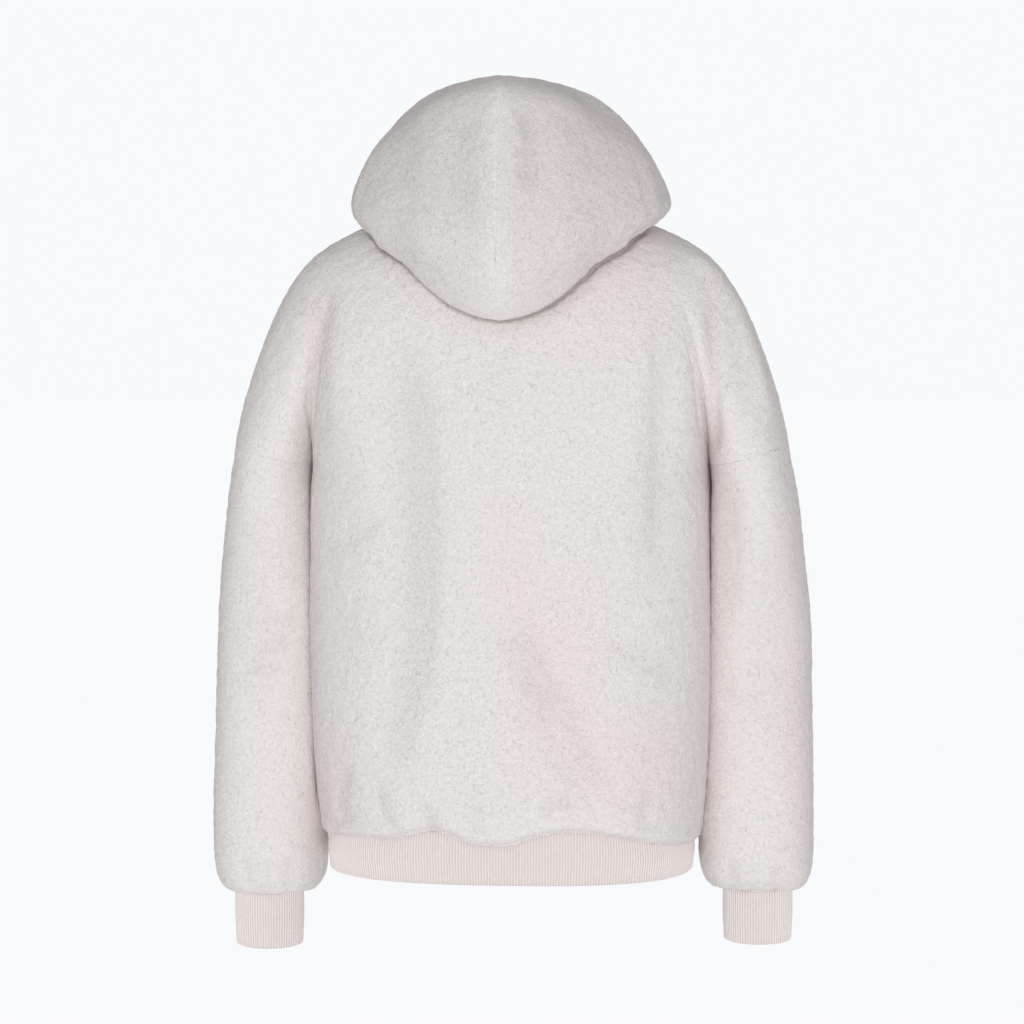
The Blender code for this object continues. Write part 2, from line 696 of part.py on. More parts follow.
def swept_bar(name, path, x_low, x_high, front, back, finish):
    """Bar of a set width that follows the zip's path, from its front face to its back face."""
    out = path_normals(path)
    points = []
    for (y, z), (oy, oz) in zip(path, out):
        for x, off in ((x_low, front), (x_high, front), (x_high, -back), (x_low, -back)):
            points.append((x, y + oy * off, z + oz * off))
    faces = [(3, 2, 1, 0)]
    for k in range(len(path) - 1):
        for a in range(4):
            b = (a + 1) % 4
            faces.append((4 * k + a, 4 * k + b, 4 * k + 4 + b, 4 * k + 4 + a))
    top = 4 * (len(path) - 1)
    faces.append((top, top + 1, top + 2, top + 3))
    node(name, points, faces, finish, sharp=30.0)


def path_upto(path, length):
    """The path's first stretch, cut at a length measured from its start, and its whole length."""
    steps = np.linalg.norm(np.diff(path, axis=0), axis=1)
    lengths = np.concatenate(((0.0,), np.cumsum(steps)))
    keep = path[lengths < length - 1.0]
    end = np.array([np.interp(length, lengths, path[:, axis]) for axis in range(2)])
    return np.concatenate((keep, [end])), lengths[-1]


def path_from(path, length):
    """The path's last stretch, from a length measured from its start."""
    whole = path_upto(path, math.inf)[1]
    return path_upto(path[::-1], whole - length)[0][::-1]


def local_frame(place, up):
    """Matrix at a (y, z) place: local +Z along a (y, z) direction, local +Y out of the front."""
    matrix = Matrix.Identity(4)
    matrix.col[0].xyz = (-1.0, 0.0, 0.0)
    matrix.col[1].xyz = (0.0, -up[1], up[0])
    matrix.col[2].xyz = (0.0, up[0], up[1])
    matrix.col[3].xyz = (0.0, place[0] * MM, place[1] * MM)
    return matrix


def zip_place(path, length):
    """Place on the zip at a length from its foot, and the direction up the zip there."""
    here = path_upto(path, length)[0][-1]
    below = path_upto(path, length - ZIP_DIRECTION_LENGTH)[0][-1]
    return here, (here - below) / np.linalg.norm(here - below)


def plate(shape, outline, low, high):
    """Add a plate cut to an outline in local X and Z, from one local Y to another."""
    corners = [shape.verts.new((x, low, z)) for x, z in outline]
    made = bmesh.ops.extrude_face_region(shape, geom=[shape.faces.new(corners)])
    for vert in (item for item in made["geom"] if isinstance(item, bmesh.types.BMVert)):
        vert.co.y = high


def rounded(half_width, low, high, corner, steps=3):
    """Outline in local X and Z of an upright tab with rounded corners."""
    outline = []
    centres = ((half_width - corner, high - corner), (corner - half_width, high - corner),
               (corner - half_width, low + corner), (half_width - corner, low + corner))
    for quarter, (x, z) in enumerate(centres):
        for k in range(steps + 1):
            turn = math.pi / 2 * (quarter + k / steps)
            outline.append((x + corner * math.cos(turn), z + corner * math.sin(turn)))
    return outline


def rectangle(x_low, x_high, z_low, z_high):
    """Outline in local X and Z of a plain rectangle."""
    return [(x_high, z_high), (x_low, z_high), (x_low, z_low), (x_high, z_low)]


def solid(name, parts, frame, finish, hidden=False):
    """One object from plates, each an outline with its local Y reach, at a place on the zip."""
    shape = bmesh.new()
    for outline, low, high in parts:
        plate(shape, outline, low, high)
    bmesh.ops.triangulate(shape, faces=shape.faces[:])
    bmesh.ops.recalc_face_normals(shape, faces=shape.faces[:])
    for vert in shape.verts:
        vert.co = vert.co * MM
    mesh = bpy.data.meshes.new(name)
    shape.to_mesh(mesh)
    shape.free()
    mesh.materials.append(material(finish))
    made = bpy.data.objects.new(name, mesh)
    made.matrix_world = frame
    bpy.context.collection.objects.link(made)
    if hidden:
        made.hide_render = True
        made.display_type = "WIRE"
    return made


def join_or_cut(target, other, operation):
    """Unite a solid with another, or cut the other out of it."""
    boolean = target.modifiers.new(operation.lower(), "BOOLEAN")
    boolean.operation = operation
    boolean.object = other


def build_box(path):
    """Retainer box at the foot of the zip."""
    half = CHAIN_WIDTH / 2
    outline = rounded(half, -BOX_LENGTH, 0.0, BOX_CORNER)
    frame = local_frame(*zip_place(path, BOX_LENGTH))
    solid("zip_box", [(outline, -BOX_THICKNESS / 2, BOX_THICKNESS / 2)], frame, ZIP_RESIN)


def build_slider(path, middle):
    """Slider: a face plate and a back plate either side of the tapes, with a crown for the pull."""
    frame = local_frame(*zip_place(path, middle))
    half = SLIDER_WIDTH / 2
    end = SLIDER_LENGTH / 2
    core = CHAIN_WIDTH / 2 - SEAM_GAP
    face_low = SLIDER_PLAY
    face_high = face_low + SLIDER_PLATE
    back_high = -TAPE_THICKNESS - SLIDER_PLAY
    back_low = back_high - SLIDER_PLATE
    outline = rounded(half, -end, end, SLIDER_CORNER)
    slider = solid("zip_slider", [(outline, face_low, face_high)], frame, ZIP_METAL)
    crown_half = CROWN_WIDTH / 2
    crown_end = CROWN_LENGTH / 2
    hole = (CROWN_TOP - CROWN_BEAM, crown_end - CROWN_LEG)
    joins = (
        ("slider_core", rectangle(-core, core, SLIDER_CORE_INSET - end, end - SLIDER_CORE_INSET),
         back_high - SLIDER_JOIN, face_low + SLIDER_JOIN),
        ("slider_back", outline, back_low, back_high),
        ("slider_crown", rectangle(-crown_half, crown_half, -crown_end, crown_end),
         face_high - SLIDER_JOIN, CROWN_TOP),
    )
    for name, shape, low, high in joins:
        join_or_cut(slider, solid(name, [(shape, low, high)], frame, ZIP_METAL, hidden=True), "UNION")
    eye = solid("slider_eye", [(rectangle(-half, half, -hole[1], hole[1]), face_high, hole[0])],
                frame, ZIP_METAL, hidden=True)
    join_or_cut(slider, eye, "DIFFERENCE")
    build_pull(path, middle, frame)


def build_pull(path, middle, frame):
    """Pull tab, hanging on the crown and lying along the zip; it turns about its top bar."""
    pivot = frame @ Matrix.Translation((0.0, PIVOT_HEIGHT * MM, 0.0))
    foot, foot_up = zip_place(path, middle - PULL_LENGTH)
    foot = foot + np.array((-foot_up[1], foot_up[0])) * PIVOT_HEIGHT
    place = np.array((pivot.translation.y, pivot.translation.z)) / MM
    hang = local_frame(place, (place - foot) / np.linalg.norm(place - foot))
    half = PULL_THICKNESS / 2
    tab = rounded(PULL_WIDTH / 2, -PULL_LENGTH, half, PULL_CORNER)
    pull = solid("zip_pull", [(tab, -half, half)], hang, ZIP_METAL)
    outline = rounded(PULL_EYE[0] / 2, -half - PULL_EYE[1], -half, PULL_EYE_CORNER)
    eye = solid("pull_eye", [(outline, -2 * half, 2 * half)], hang, ZIP_METAL, hidden=True)
    join_or_cut(pull, eye, "DIFFERENCE")


def build_zip():
    """Tapes, closed chain, retainer box, slider and pull tab."""
    path = zip_path()
    whole = path_upto(path, math.inf)[1]
    half_chain = CHAIN_WIDTH / 2
    tape_low = half_chain + SEAM_GAP
    for name, side in (("zip_tape_left", 1), ("zip_tape_right", -1)):
        reach = sorted((side * tape_low, side * (tape_low + TAPE_WIDTH)))
        swept_bar(name, path, reach[0], reach[1], 0.0, TAPE_THICKNESS, ZIP_TAPE)
    slider_top = whole - SLIDER_TO_NECK
    slider_low = slider_top - SLIDER_LENGTH
    chain_start = BOX_LENGTH + SEAM_GAP
    chain = path_upto(path_from(path, chain_start), slider_low - chain_start - SEAM_GAP)[0]
    chain_front = CHAIN_THICKNESS / 2 - TAPE_THICKNESS / 2
    chain_back = CHAIN_THICKNESS / 2 + TAPE_THICKNESS / 2
    swept_bar("zip_chain", chain, -half_chain, half_chain, chain_front, chain_back, ZIP_RESIN)
    build_box(path)
    build_slider(path, (slider_low + slider_top) / 2)


def main():
    """Build every piece of the hoodie."""
    clear_scene()
    build_back()
    build_fronts()
    build_sleeves()
    build_cuffs()
    build_hem_rib()
    build_hood()
    build_zip()


main()
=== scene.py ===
"""Zip-up hoodie in curly pile fleece, filled out as it is worn, dressed over its solids.

Every cloth piece is a thin closed wall on the form of its solid, with its pile, its creases and
its seams. Sizes are in millimetres and become metres when a mesh is made. +Z is up, the fronts
face -Y and the wearer's left is +X.
"""
import logging
import math
from dataclasses import dataclass, field
from enum import Enum
from typing import Callable, NamedTuple, Optional, Sequence

import bmesh
import bpy
import numpy as np
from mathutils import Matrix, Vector


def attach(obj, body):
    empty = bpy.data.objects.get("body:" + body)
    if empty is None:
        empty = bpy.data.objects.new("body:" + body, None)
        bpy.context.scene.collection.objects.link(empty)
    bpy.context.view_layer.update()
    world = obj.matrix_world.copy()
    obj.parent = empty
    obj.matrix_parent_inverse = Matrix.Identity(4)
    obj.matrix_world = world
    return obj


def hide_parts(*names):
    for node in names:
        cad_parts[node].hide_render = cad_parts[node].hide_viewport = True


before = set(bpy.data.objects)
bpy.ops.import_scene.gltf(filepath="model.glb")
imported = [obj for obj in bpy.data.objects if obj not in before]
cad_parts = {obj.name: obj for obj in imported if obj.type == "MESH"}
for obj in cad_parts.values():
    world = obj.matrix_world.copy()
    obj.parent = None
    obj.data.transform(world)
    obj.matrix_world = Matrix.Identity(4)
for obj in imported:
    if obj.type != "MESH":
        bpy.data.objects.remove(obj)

LOG = logging.getLogger("hoodie")
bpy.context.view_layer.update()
MM = 0.001
HOODIE = "hoodie"
LIP_SEAM = 1.5


class Face(Enum):
    """Which side of the body a panel lies on."""

    BACK = 1
    FRONT = -1


class Side(Enum):
    """The wearer's left or right."""

    LEFT = 1
    RIGHT = -1


class YokeRow(NamedTuple):
    """One ring between the neckline and the dropped armhole seam."""

    z_back: float
    z_front: float
    z_side: float
    half_width: float
    groove_x: float
    depth_back: float
    depth_front: float
    groove_share: float


class TorsoRow(NamedTuple):
    """One ring between the armhole seam and the hem rib."""

    z: float
    half_width: float
    depth_back: float
    depth_front: float
    wave_share: float


class SleeveRow(NamedTuple):
    """One ring of a sleeve."""

    z_inner: float
    z_outer: float
    x_inner: float
    x_outer: float
    y_middle: float
    half_depth: float


class HoodStation(NamedTuple):
    """One section of the hood, from the neck seam over its fold to the rim."""

    share: float
    under: float
    fold: float
    belly_x: float
    belly_y: float
    belly_z: float
    crown_x: float
    crown_y: float
    crown_z: float
    rim_x: float
    rim_y: float
    rim_z: float


class Fold(NamedTuple):
    """A large soft trough that the solids have too, from a high place to a low one."""

    face: Face
    x_high: float
    z_high: float
    x_low: float
    z_low: float
    half_width: float
    depth: float


def read_rows(rows: Sequence[Sequence[float]], at: np.ndarray) -> np.ndarray:
    """Read a table at fractional row numbers, on a smooth curve through its rows.

    Args:
        rows: The table, one row of values (or of places) after another.
        at: Row numbers to read, one for each row wanted.

    Returns:
        The values read, one row for each number in at.
    """
    table = np.array(rows, float)
    last = len(table) - 1
    at = np.clip(np.asarray(at, float), 0.0, last)
    low = np.minimum(at.astype(int), last - 1)
    t = (at - low).reshape((-1,) + (1,) * (table.ndim - 1))
    a = table[np.maximum(low - 1, 0)]
    b = table[low]
    c = table[low + 1]
    d = table[np.minimum(low + 2, last)]
    return b + 0.5 * t * (c - a + t * (2 * a - 5 * b + 4 * c - d + t * (3 * (b - c) + d - a)))


def oval(share: np.ndarray, fullness: float) -> np.ndarray:
    """Height of a full oval over its middle at shares of its half width; a fullness of 2 is an ellipse."""
    return np.maximum(0.0, 1.0 - np.minimum(1.0, np.abs(share)) ** fullness) ** (1.0 / fullness)


def unit(vectors: np.ndarray) -> np.ndarray:
    """Scale directions to length one."""
    length = np.linalg.norm(vectors, axis=-1, keepdims=True)
    return vectors / np.where(length < 1e-9, 1.0, length)


def ease(share: np.ndarray) -> np.ndarray:
    """Smooth step from 0 to 1, clipped at both ends."""
    share = np.clip(share, 0.0, 1.0)
    return share * share * (3.0 - 2.0 * share)


def bell(distance: np.ndarray, width: float) -> np.ndarray:
    """Soft bump of height 1, fallen to about a third at its width."""
    return np.exp(-((distance / width) ** 2))


def arc_lengths(points: np.ndarray) -> np.ndarray:
    """Length up to each place, along runs of points shaped (..., places, 3)."""
    steps = np.linalg.norm(np.diff(points, axis=-2), axis=-1)
    start = np.zeros(steps.shape[:-1] + (1,))
    return np.concatenate((start, np.cumsum(steps, axis=-1)), axis=-1)


def even_values(values: np.ndarray, points: np.ndarray, count: int) -> np.ndarray:
    """Values at even steps along a curve whose places were read at the values given."""
    lengths = arc_lengths(points)
    return np.interp(np.linspace(0.0, lengths[-1], count + 1), lengths, values)


def grid_normals(grid: np.ndarray, ring: bool = False) -> np.ndarray:
    """Directions square to a grid, of length one.

    Args:
        grid: Places, shaped (rows, columns, 3).
        ring: Whether the last column joins the first.

    Returns:
        Directions along the cross product of the columns' run and the rows' run.
    """
    wide = np.concatenate((grid[:, -1:], grid, grid[:, :1]), axis=1) if ring else grid
    across = np.gradient(wide, axis=1)
    down = np.gradient(wide, axis=0)
    normals = unit(np.cross(across, down))
    return normals[:, 1:-1] if ring else normals


def edge_steps(rows: int, columns: int, top: bool, bottom: bool, left: bool, right: bool) -> np.ndarray:
    """Steps from each place of a grid to the nearest of some of its edges.

    Args:
        rows: Number of rows of places.
        columns: Number of columns of places.
        top: Whether row 0 counts.
        bottom: Whether the last row counts.
        left: Whether column 0 counts.
        right: Whether the last column counts.

    Returns:
        The steps, shaped (rows, columns).
    """
    far = float(rows + columns)
    r = np.arange(rows, dtype=float)[:, None]
    c = np.arange(columns, dtype=float)[None, :]
    steps = np.full((rows, columns), far)
    for counts, away in ((top, r), (bottom, rows - 1 - r), (left, c), (right, columns - 1 - c)):
        if counts:
            steps = np.minimum(steps, away)
    return steps


class PileNoise:
    """Smooth repeatable unevenness, read from a small lattice of fixed values."""

    def __init__(self, seed: int, cells: int = 32) -> None:
        """Fill the lattice.

        Args:
            seed: Which unevenness.
            cells: Lattice cells each way before it repeats.
        """
        self.cells = cells
        self.values = np.random.default_rng(seed).random((cells, cells, cells)) * 2.0 - 1.0

    def at(self, points: np.ndarray, size: float) -> np.ndarray:
        """Read the unevenness.

        Args:
            points: Places in millimetres, shaped (..., 3).
            size: Width of one bump.

        Returns:
            Values from -1 to 1, shaped (...).
        """
        place = points / size
        low = np.floor(place).astype(int)
        share = place - low
        share = share * share * (3.0 - 2.0 * share)
        total = np.zeros(points.shape[:-1])
        for corner in range(8):
            step = np.array((corner & 1, corner >> 1 & 1, corner >> 2 & 1))
            index = (low + step) % self.cells
            weight = np.prod(np.where(step == 1, share, 1.0 - share), axis=-1)
            total += weight * self.values[index[..., 0], index[..., 1], index[..., 2]]
        return total


@dataclass(frozen=True)
class Crease:
    """A crease along a given path: a soft trough, or a ridge where its depth is negative."""

    path: tuple[tuple[float, float], ...]
    width: float
    depth: float
    lean: float = 0.0

    def depth_at(self, x: np.ndarray, z: np.ndarray) -> np.ndarray:
        """How deep the crease presses at places seen square to the back.

        Args:
            x: Places across.
            z: Heights.

        Returns:
            Depths in millimetres.
        """
        line = read_rows(self.path, np.linspace(0.0, len(self.path) - 1.0, 8 * len(self.path) + 1))
        best = np.full(x.shape, np.inf)
        share = np.zeros(x.shape)
        side = np.zeros(x.shape)
        lengths = arc_lengths(np.column_stack((line, np.zeros(len(line)))))
        for k, (start, end) in enumerate(zip(line[:-1], line[1:])):
            run = end - start
            long = max(float(run @ run), 1e-9)
            t = np.clip(((x - start[0]) * run[0] + (z - start[1]) * run[1]) / long, 0.0, 1.0)
            dx = x - start[0] - t * run[0]
            dz = z - start[1] - t * run[1]
            far = np.hypot(dx, dz)
            nearer = far < best
            best = np.where(nearer, far, best)
            share = np.where(nearer, (lengths[k] + t * (lengths[k + 1] - lengths[k])) / lengths[-1], share)
            side = np.where(nearer, np.sign(run[0] * dz - run[1] * dx), side)
        fade = ease(np.minimum(share, 1.0 - share) / 0.25)
        width = self.width * (1.0 + self.lean * side)
        return self.depth * np.exp(-((best / width) ** 2)) * fade


def linear(code: str) -> tuple[float, float, float, float]:
    """Turn six hex digits of an sRGB colour to linear red, green, blue and an alpha of 1."""
    parts = [int(code[k:k + 2], 16) / 255.0 for k in (0, 2, 4)]
    bent = [p / 12.92 if p <= 0.04045 else ((p + 0.055) / 1.055) ** 2.4 for p in parts]
    return (bent[0], bent[1], bent[2], 1.0)


class Shading:
    """A new material's node tree and the few things that every finish does with it."""

    def __init__(self, name: str) -> None:
        """Start a material, under the real material's name, with only its Principled shader."""
        self.material = bpy.data.materials.new(name)
        self.material.use_nodes = True
        self.tree = self.material.node_tree
        self.shader = self.tree.nodes["Principled BSDF"]

    def feed(self, node: bpy.types.Node, key: str | int, value: object) -> None:
        """Give a node's input what it takes.

        Args:
            node: The node.
            key: The input's name or number.
            value: A socket, a node that stands for its first output, or a value.
        """
        if isinstance(value, bpy.types.Node):
            value = value.outputs[0]
        if isinstance(value, bpy.types.NodeSocket):
            self.tree.links.new(value, node.inputs[key])
        else:
            node.inputs[key].default_value = value

    def add(self, kind: str, inputs: Optional[dict] = None, **settings: object) -> bpy.types.Node:
        """Add a node with its settings and links.

        Args:
            kind: The node's type name, after ShaderNode.
            inputs: What each input takes, by its name or number.
            settings: The node's own settings.

        Returns:
            The new node.
        """
        node = self.tree.nodes.new("ShaderNode" + kind)
        for name, value in settings.items():
            setattr(node, name, value)
        for key, value in (inputs or {}).items():
            self.feed(node, key, value)
        return node

    def finish(self, **values: object) -> bpy.types.Material:
        """Give the shader's inputs, named with _ for a space, what they take, and return the material."""
        for name, value in values.items():
            self.feed(self.shader, name.replace("_", " "), value)
        return self.material


@dataclass(frozen=True)
class CurlyFleece:
    """Polyester pile fleece, its fibre ends curled into small clumps on a knitted ground."""

    name: str = "curly_pile_fleece"
    tip: str = "F6F1EE"
    # Colour of the painted shade in the pile's partings, lock edges, creases and other shaded places
    painted_shade_colour: str = "CFC8C5"
    # Warmer pink of the painted shade tint
    painted_shade_tint: str = "F9ECED"
    curl: float = 4.2
    strand: float = 1.2
    lock: float = 2.4
    parting: float = 5.5
    parting_width: float = 0.03
    bend: float = 1.9
    depth: float = 1.5

    def make(self) -> bpy.types.Material:
        """Build the material: matt and soft, fine curls with thin broken partings between clumps, with
        painted shade in the partings, at the edges of the locks and wherever the mesh asks for it.
        """
        s = Shading(self.name)
        place = s.add("TexCoord").outputs["Object"]
        bend = s.add("TexNoise", {"Vector": place, "Scale": 1.0 / (self.curl * MM), "Detail": 2.0})
        away = s.add("VectorMath", {0: bend.outputs["Color"], 1: (0.5, 0.5, 0.5)}, operation="SUBTRACT")
        push = s.add("VectorMath", {0: away, "Scale": self.bend * self.curl * MM}, operation="SCALE")
        bent = s.add("VectorMath", {0: place, 1: push}, operation="ADD")
        strand = s.add("TexNoise", {"Vector": bent, "Scale": 1.0 / (self.strand * MM), "Detail": 2.0,
                                    "Roughness": 0.6})
        clump = s.add("TexNoise", {"Vector": bent, "Scale": 1.0 / (self.curl * MM), "Detail": 1.0})
        lock = s.add("TexVoronoi", {"Vector": bent, "Scale": 1.0 / (self.lock * MM), "Smoothness": 0.35},
                     feature="SMOOTH_F1")
        # A parting runs where a broad noise crosses its middle value, and breaks off where it fades
        broad = s.add("TexNoise", {"Vector": bent, "Scale": 1.0 / (self.parting * MM), "Detail": 1.0})
        off = s.add("Math", {0: broad, 1: 0.5}, operation="SUBTRACT")
        near = s.add("Math", {0: off}, operation="ABSOLUTE")
        line = s.add("MapRange", {"Value": near, "From Max": self.parting_width, "To Min": 1.0,
                                  "To Max": 0.0})
        gate = s.add("MapRange", {"Value": clump, "From Min": 0.48, "From Max": 0.62})
        parting = s.add("Math", {0: line, 1: gate}, operation="MULTIPLY")
        curls = s.add("Math", {0: lock, 1: -0.9, 2: strand}, operation="MULTIPLY_ADD")
        height = s.add("Math", {0: parting, 1: -0.35, 2: curls}, operation="MULTIPLY_ADD")
        bump = s.add("Bump", {"Height": height, "Strength": 0.65, "Distance": self.depth * MM})
        # Painted shade tint: a warmer pink where shade falls
        warm = s.add("Attribute", attribute_name="painted_shade_tint").outputs["Fac"]
        tint = s.add("Mix", {0: warm, 6: linear(self.tip), 7: linear(self.painted_shade_tint)}, data_type="RGBA")
        # Painted shade: the partings, the edges of the locks and the mesh's own painted shade mix the pile
        # towards its shaded colour
        fine = s.add("MapRange", {"Value": lock, "From Min": 0.25, "From Max": 0.8, "To Max": 0.2})
        painted_pit_shade = s.add("Math", {0: parting, 1: 0.62, 2: fine}, operation="MULTIPLY_ADD")
        painted_shade = s.add("Attribute", attribute_name="painted_shade").outputs["Fac"]
        deep = s.add("Math", {0: painted_pit_shade, 1: painted_shade}, operation="ADD", use_clamp=True)
        colour = s.add("Mix", {0: deep, 6: tint.outputs[2], 7: linear(self.painted_shade_colour)}, data_type="RGBA")
        return s.finish(Base_Color=colour.outputs[2], Normal=bump, Roughness=0.97, Sheen_Weight=0.08,
                        Sheen_Roughness=0.6, Specular_IOR_Level=0.1)


@dataclass(frozen=True)
class KnitGround:
    """The fleece's knitted ground, its smooth inside."""

    name: str = "fleece_knit_ground"
    yarn: str = "E3DDD8"
    gap: str = "CFC7C1"
    loop: float = 1.6

    def make(self) -> bpy.types.Material:
        """Build the material: fine even loops, matt."""
        s = Shading(self.name)
        place = s.add("TexCoord").outputs["Object"]
        loops = s.add("TexVoronoi", {"Vector": place, "Scale": 1.0 / (self.loop * MM), "Randomness": 0.45},
                      feature="F1")
        bump = s.add("Bump", {"Height": loops, "Strength": 0.4, "Distance": 0.4 * MM}, invert=True)
        colour = s.add("Mix", {0: loops, 6: linear(self.yarn), 7: linear(self.gap)}, data_type="RGBA")
        return s.finish(Base_Color=colour.outputs[2], Normal=bump, Roughness=0.9, Sheen_Weight=0.1,
                        Specular_IOR_Level=0.2)


@dataclass(frozen=True)
class RibKnit:
    """Cotton and elastane one-by-one rib knit."""

    name: str = "cotton_rib_knit"
    yarn: str = "F4EBE8"
    # Colour of the painted shade in the rib valleys
    painted_valley_shade: str = "E0D5D2"
    stitch: float = 1.7
    fuzz: float = 1.1

    def make(self) -> bpy.types.Material:
        """Build the material: ribs a little darker in their valleys by painted shade, each stitch a small
        ladder step.
        """
        s = Shading(self.name)
        place = s.add("TexCoord").outputs["Object"]
        split = s.add("SeparateXYZ", {"Vector": s.add("UVMap", uv_map="knit")})
        turn = s.add("Math", {0: split.outputs["X"], 1: 2.0 * math.pi}, operation="MULTIPLY")
        rib = s.add("Math", {0: turn}, operation="COSINE")
        step = s.add("Math", {0: split.outputs["Y"], 1: 2.0 * math.pi / self.stitch}, operation="MULTIPLY")
        ladder = s.add("Math", {0: step}, operation="SINE")
        fuzz = s.add("TexNoise", {"Vector": place, "Scale": 1.0 / (self.fuzz * MM), "Detail": 2.0})
        loop = s.add("Math", {0: ladder, 1: 0.22, 2: fuzz}, operation="MULTIPLY_ADD")
        height = s.add("Math", {0: rib, 1: 0.6, 2: loop}, operation="MULTIPLY_ADD")
        bump = s.add("Bump", {"Height": height, "Strength": 0.55, "Distance": 0.5 * MM})
        # Painted shade in the rib valleys
        shade = s.add("MapRange", {"Value": rib, "From Min": -1.0, "From Max": 0.4})
        colour = s.add("Mix", {0: shade, 6: linear(self.painted_valley_shade), 7: linear(self.yarn)}, data_type="RGBA")
        return s.finish(Base_Color=colour.outputs[2], Normal=bump, Roughness=0.88, Sheen_Weight=0.12,
                        Specular_IOR_Level=0.2)


@dataclass(frozen=True)
class WovenTape:
    """Woven polyester zip tape in herringbone."""

    name: str = "woven_zip_tape"
    thread: str = "E7DFD9"
    gap: str = "CBC1BA"
    pitch: float = 1.4
    band: float = 2.2

    def make(self) -> bpy.types.Material:
        """Build the material: slanting threads that show as fine matt lines."""
        s = Shading(self.name)
        split = s.add("SeparateXYZ", {"Vector": s.add("TexCoord").outputs["Object"]})
        mirror = s.add("Math", {0: split.outputs["X"], 1: self.band * MM}, operation="PINGPONG")
        slant = s.add("Math", {0: mirror, 1: split.outputs["Z"]}, operation="ADD")
        turn = s.add("Math", {0: slant, 1: 2.0 * math.pi / (self.pitch * MM)}, operation="MULTIPLY")
        shade = s.add("MapRange", {"Value": s.add("Math", {0: turn}, operation="SINE"), "From Min": -1.0})
        bump = s.add("Bump", {"Height": shade, "Strength": 0.4, "Distance": 0.2 * MM})
        colour = s.add("Mix", {0: shade, 6: linear(self.gap), 7: linear(self.thread)}, data_type="RGBA")
        return s.finish(Base_Color=colour.outputs[2], Normal=bump, Roughness=0.82, Specular_IOR_Level=0.25)


@dataclass(frozen=True)
class MouldedResin:
    """Acetal resin, moulded onto the tape as teeth."""

    name: str = "moulded_resin_teeth"
    colour: str = "E6DED6"
    flow: float = 2.5

    def make(self) -> bpy.types.Material:
        """Build the material: satin, with the faint flow marks of moulding."""
        s = Shading(self.name)
        place = s.add("TexCoord").outputs["Object"]
        flow = s.add("TexNoise", {"Vector": place, "Scale": 1.0 / (self.flow * MM), "Detail": 2.0})
        rough = s.add("MapRange", {"Value": flow, "To Min": 0.36, "To Max": 0.5})
        bump = s.add("Bump", {"Height": flow, "Strength": 0.12, "Distance": 0.1 * MM})
        return s.finish(Roughness=rough, Normal=bump, Base_Color=linear(self.colour), IOR=1.48)


@dataclass(frozen=True)
class PaintedZinc:
    """Die-cast zinc with a baked satin paint."""

    name: str = "painted_zinc_slider"
    paint: str = "E2DAD2"
    worn: str = "C9BFB5"
    peel: float = 0.8
    touch: float = 6.0

    def make(self) -> bpy.types.Material:
        """Build the material: smooth satin paint with a soft orange peel, duller where handled."""
        s = Shading(self.name)
        place = s.add("TexCoord").outputs["Object"]
        peel = s.add("TexNoise", {"Vector": place, "Scale": 1.0 / (self.peel * MM), "Detail": 1.0})
        touch = s.add("TexNoise", {"Vector": place, "Scale": 1.0 / (self.touch * MM), "Detail": 3.0})
        wear = s.add("MapRange", {"Value": touch, "From Min": 0.5, "From Max": 0.8})
        colour = s.add("Mix", {0: wear, 6: linear(self.paint), 7: linear(self.worn)}, data_type="RGBA")
        bump = s.add("Bump", {"Height": peel, "Strength": 0.15, "Distance": 0.05 * MM})
        return s.finish(Base_Color=colour.outputs[2], Normal=bump, Roughness=0.38, Metallic=0.0,
                        Coat_Weight=0.25, Coat_Roughness=0.2)


@dataclass
class Finishes:
    """All the materials, made once."""

    fleece: bpy.types.Material = field(default_factory=lambda: CurlyFleece().make())
    ground: bpy.types.Material = field(default_factory=lambda: KnitGround().make())
    rib: bpy.types.Material = field(default_factory=lambda: RibKnit().make())
    tape: bpy.types.Material = field(default_factory=lambda: WovenTape().make())
    resin: bpy.types.Material = field(default_factory=lambda: MouldedResin().make())
    zinc: bpy.types.Material = field(default_factory=lambda: PaintedZinc().make())


class PaintedShadeTint(NamedTuple):
    """A patch of painted shade tint, the warmer pink that the pile takes where shade falls, seen from behind,
    in millimetres.
    """

    x: float
    z: float
    reach_x: float
    reach_z: float
    share: float


# Painted shade tint along the grooves and creases, on the hood's right side and on the right sleeve's outer
# side
PAINTED_SHADE_TINTS = (
    PaintedShadeTint(-92, -10, 58, 115, 0.9),
    PaintedShadeTint(-200, -340, 9, 250, 0.9),
    PaintedShadeTint(-54, -460, 44, 90, 0.9),
    PaintedShadeTint(-130, -545, 66, 48, 1.0),
    PaintedShadeTint(-8, -345, 26, 50, 0.7),
    PaintedShadeTint(-284, -500, 24, 190, 0.9),
    PaintedShadeTint(176, -590, 26, 70, 0.9),
    PaintedShadeTint(181, -130, 15, 34, 0.9),
    PaintedShadeTint(189, -420, 9, 160, 0.6),
)


def finished(mesh: bpy.types.Mesh, sharp: float) -> bpy.types.Object:
    """Turn a mesh's faces outward, smooth it and make its object.

    Args:
        mesh: The new mesh.
        sharp: Degrees over which an edge stays sharp.

    Returns:
        The object, at the origin.
    """
    shape = bmesh.new()
    shape.from_mesh(mesh)
    bmesh.ops.recalc_face_normals(shape, faces=shape.faces[:])
    shape.to_mesh(mesh)
    shape.free()
    mesh.shade_smooth()
    mesh.set_sharp_from_angle(angle=math.radians(sharp))
    made = bpy.data.objects.new(mesh.name, mesh)
    bpy.context.collection.objects.link(made)
    return made


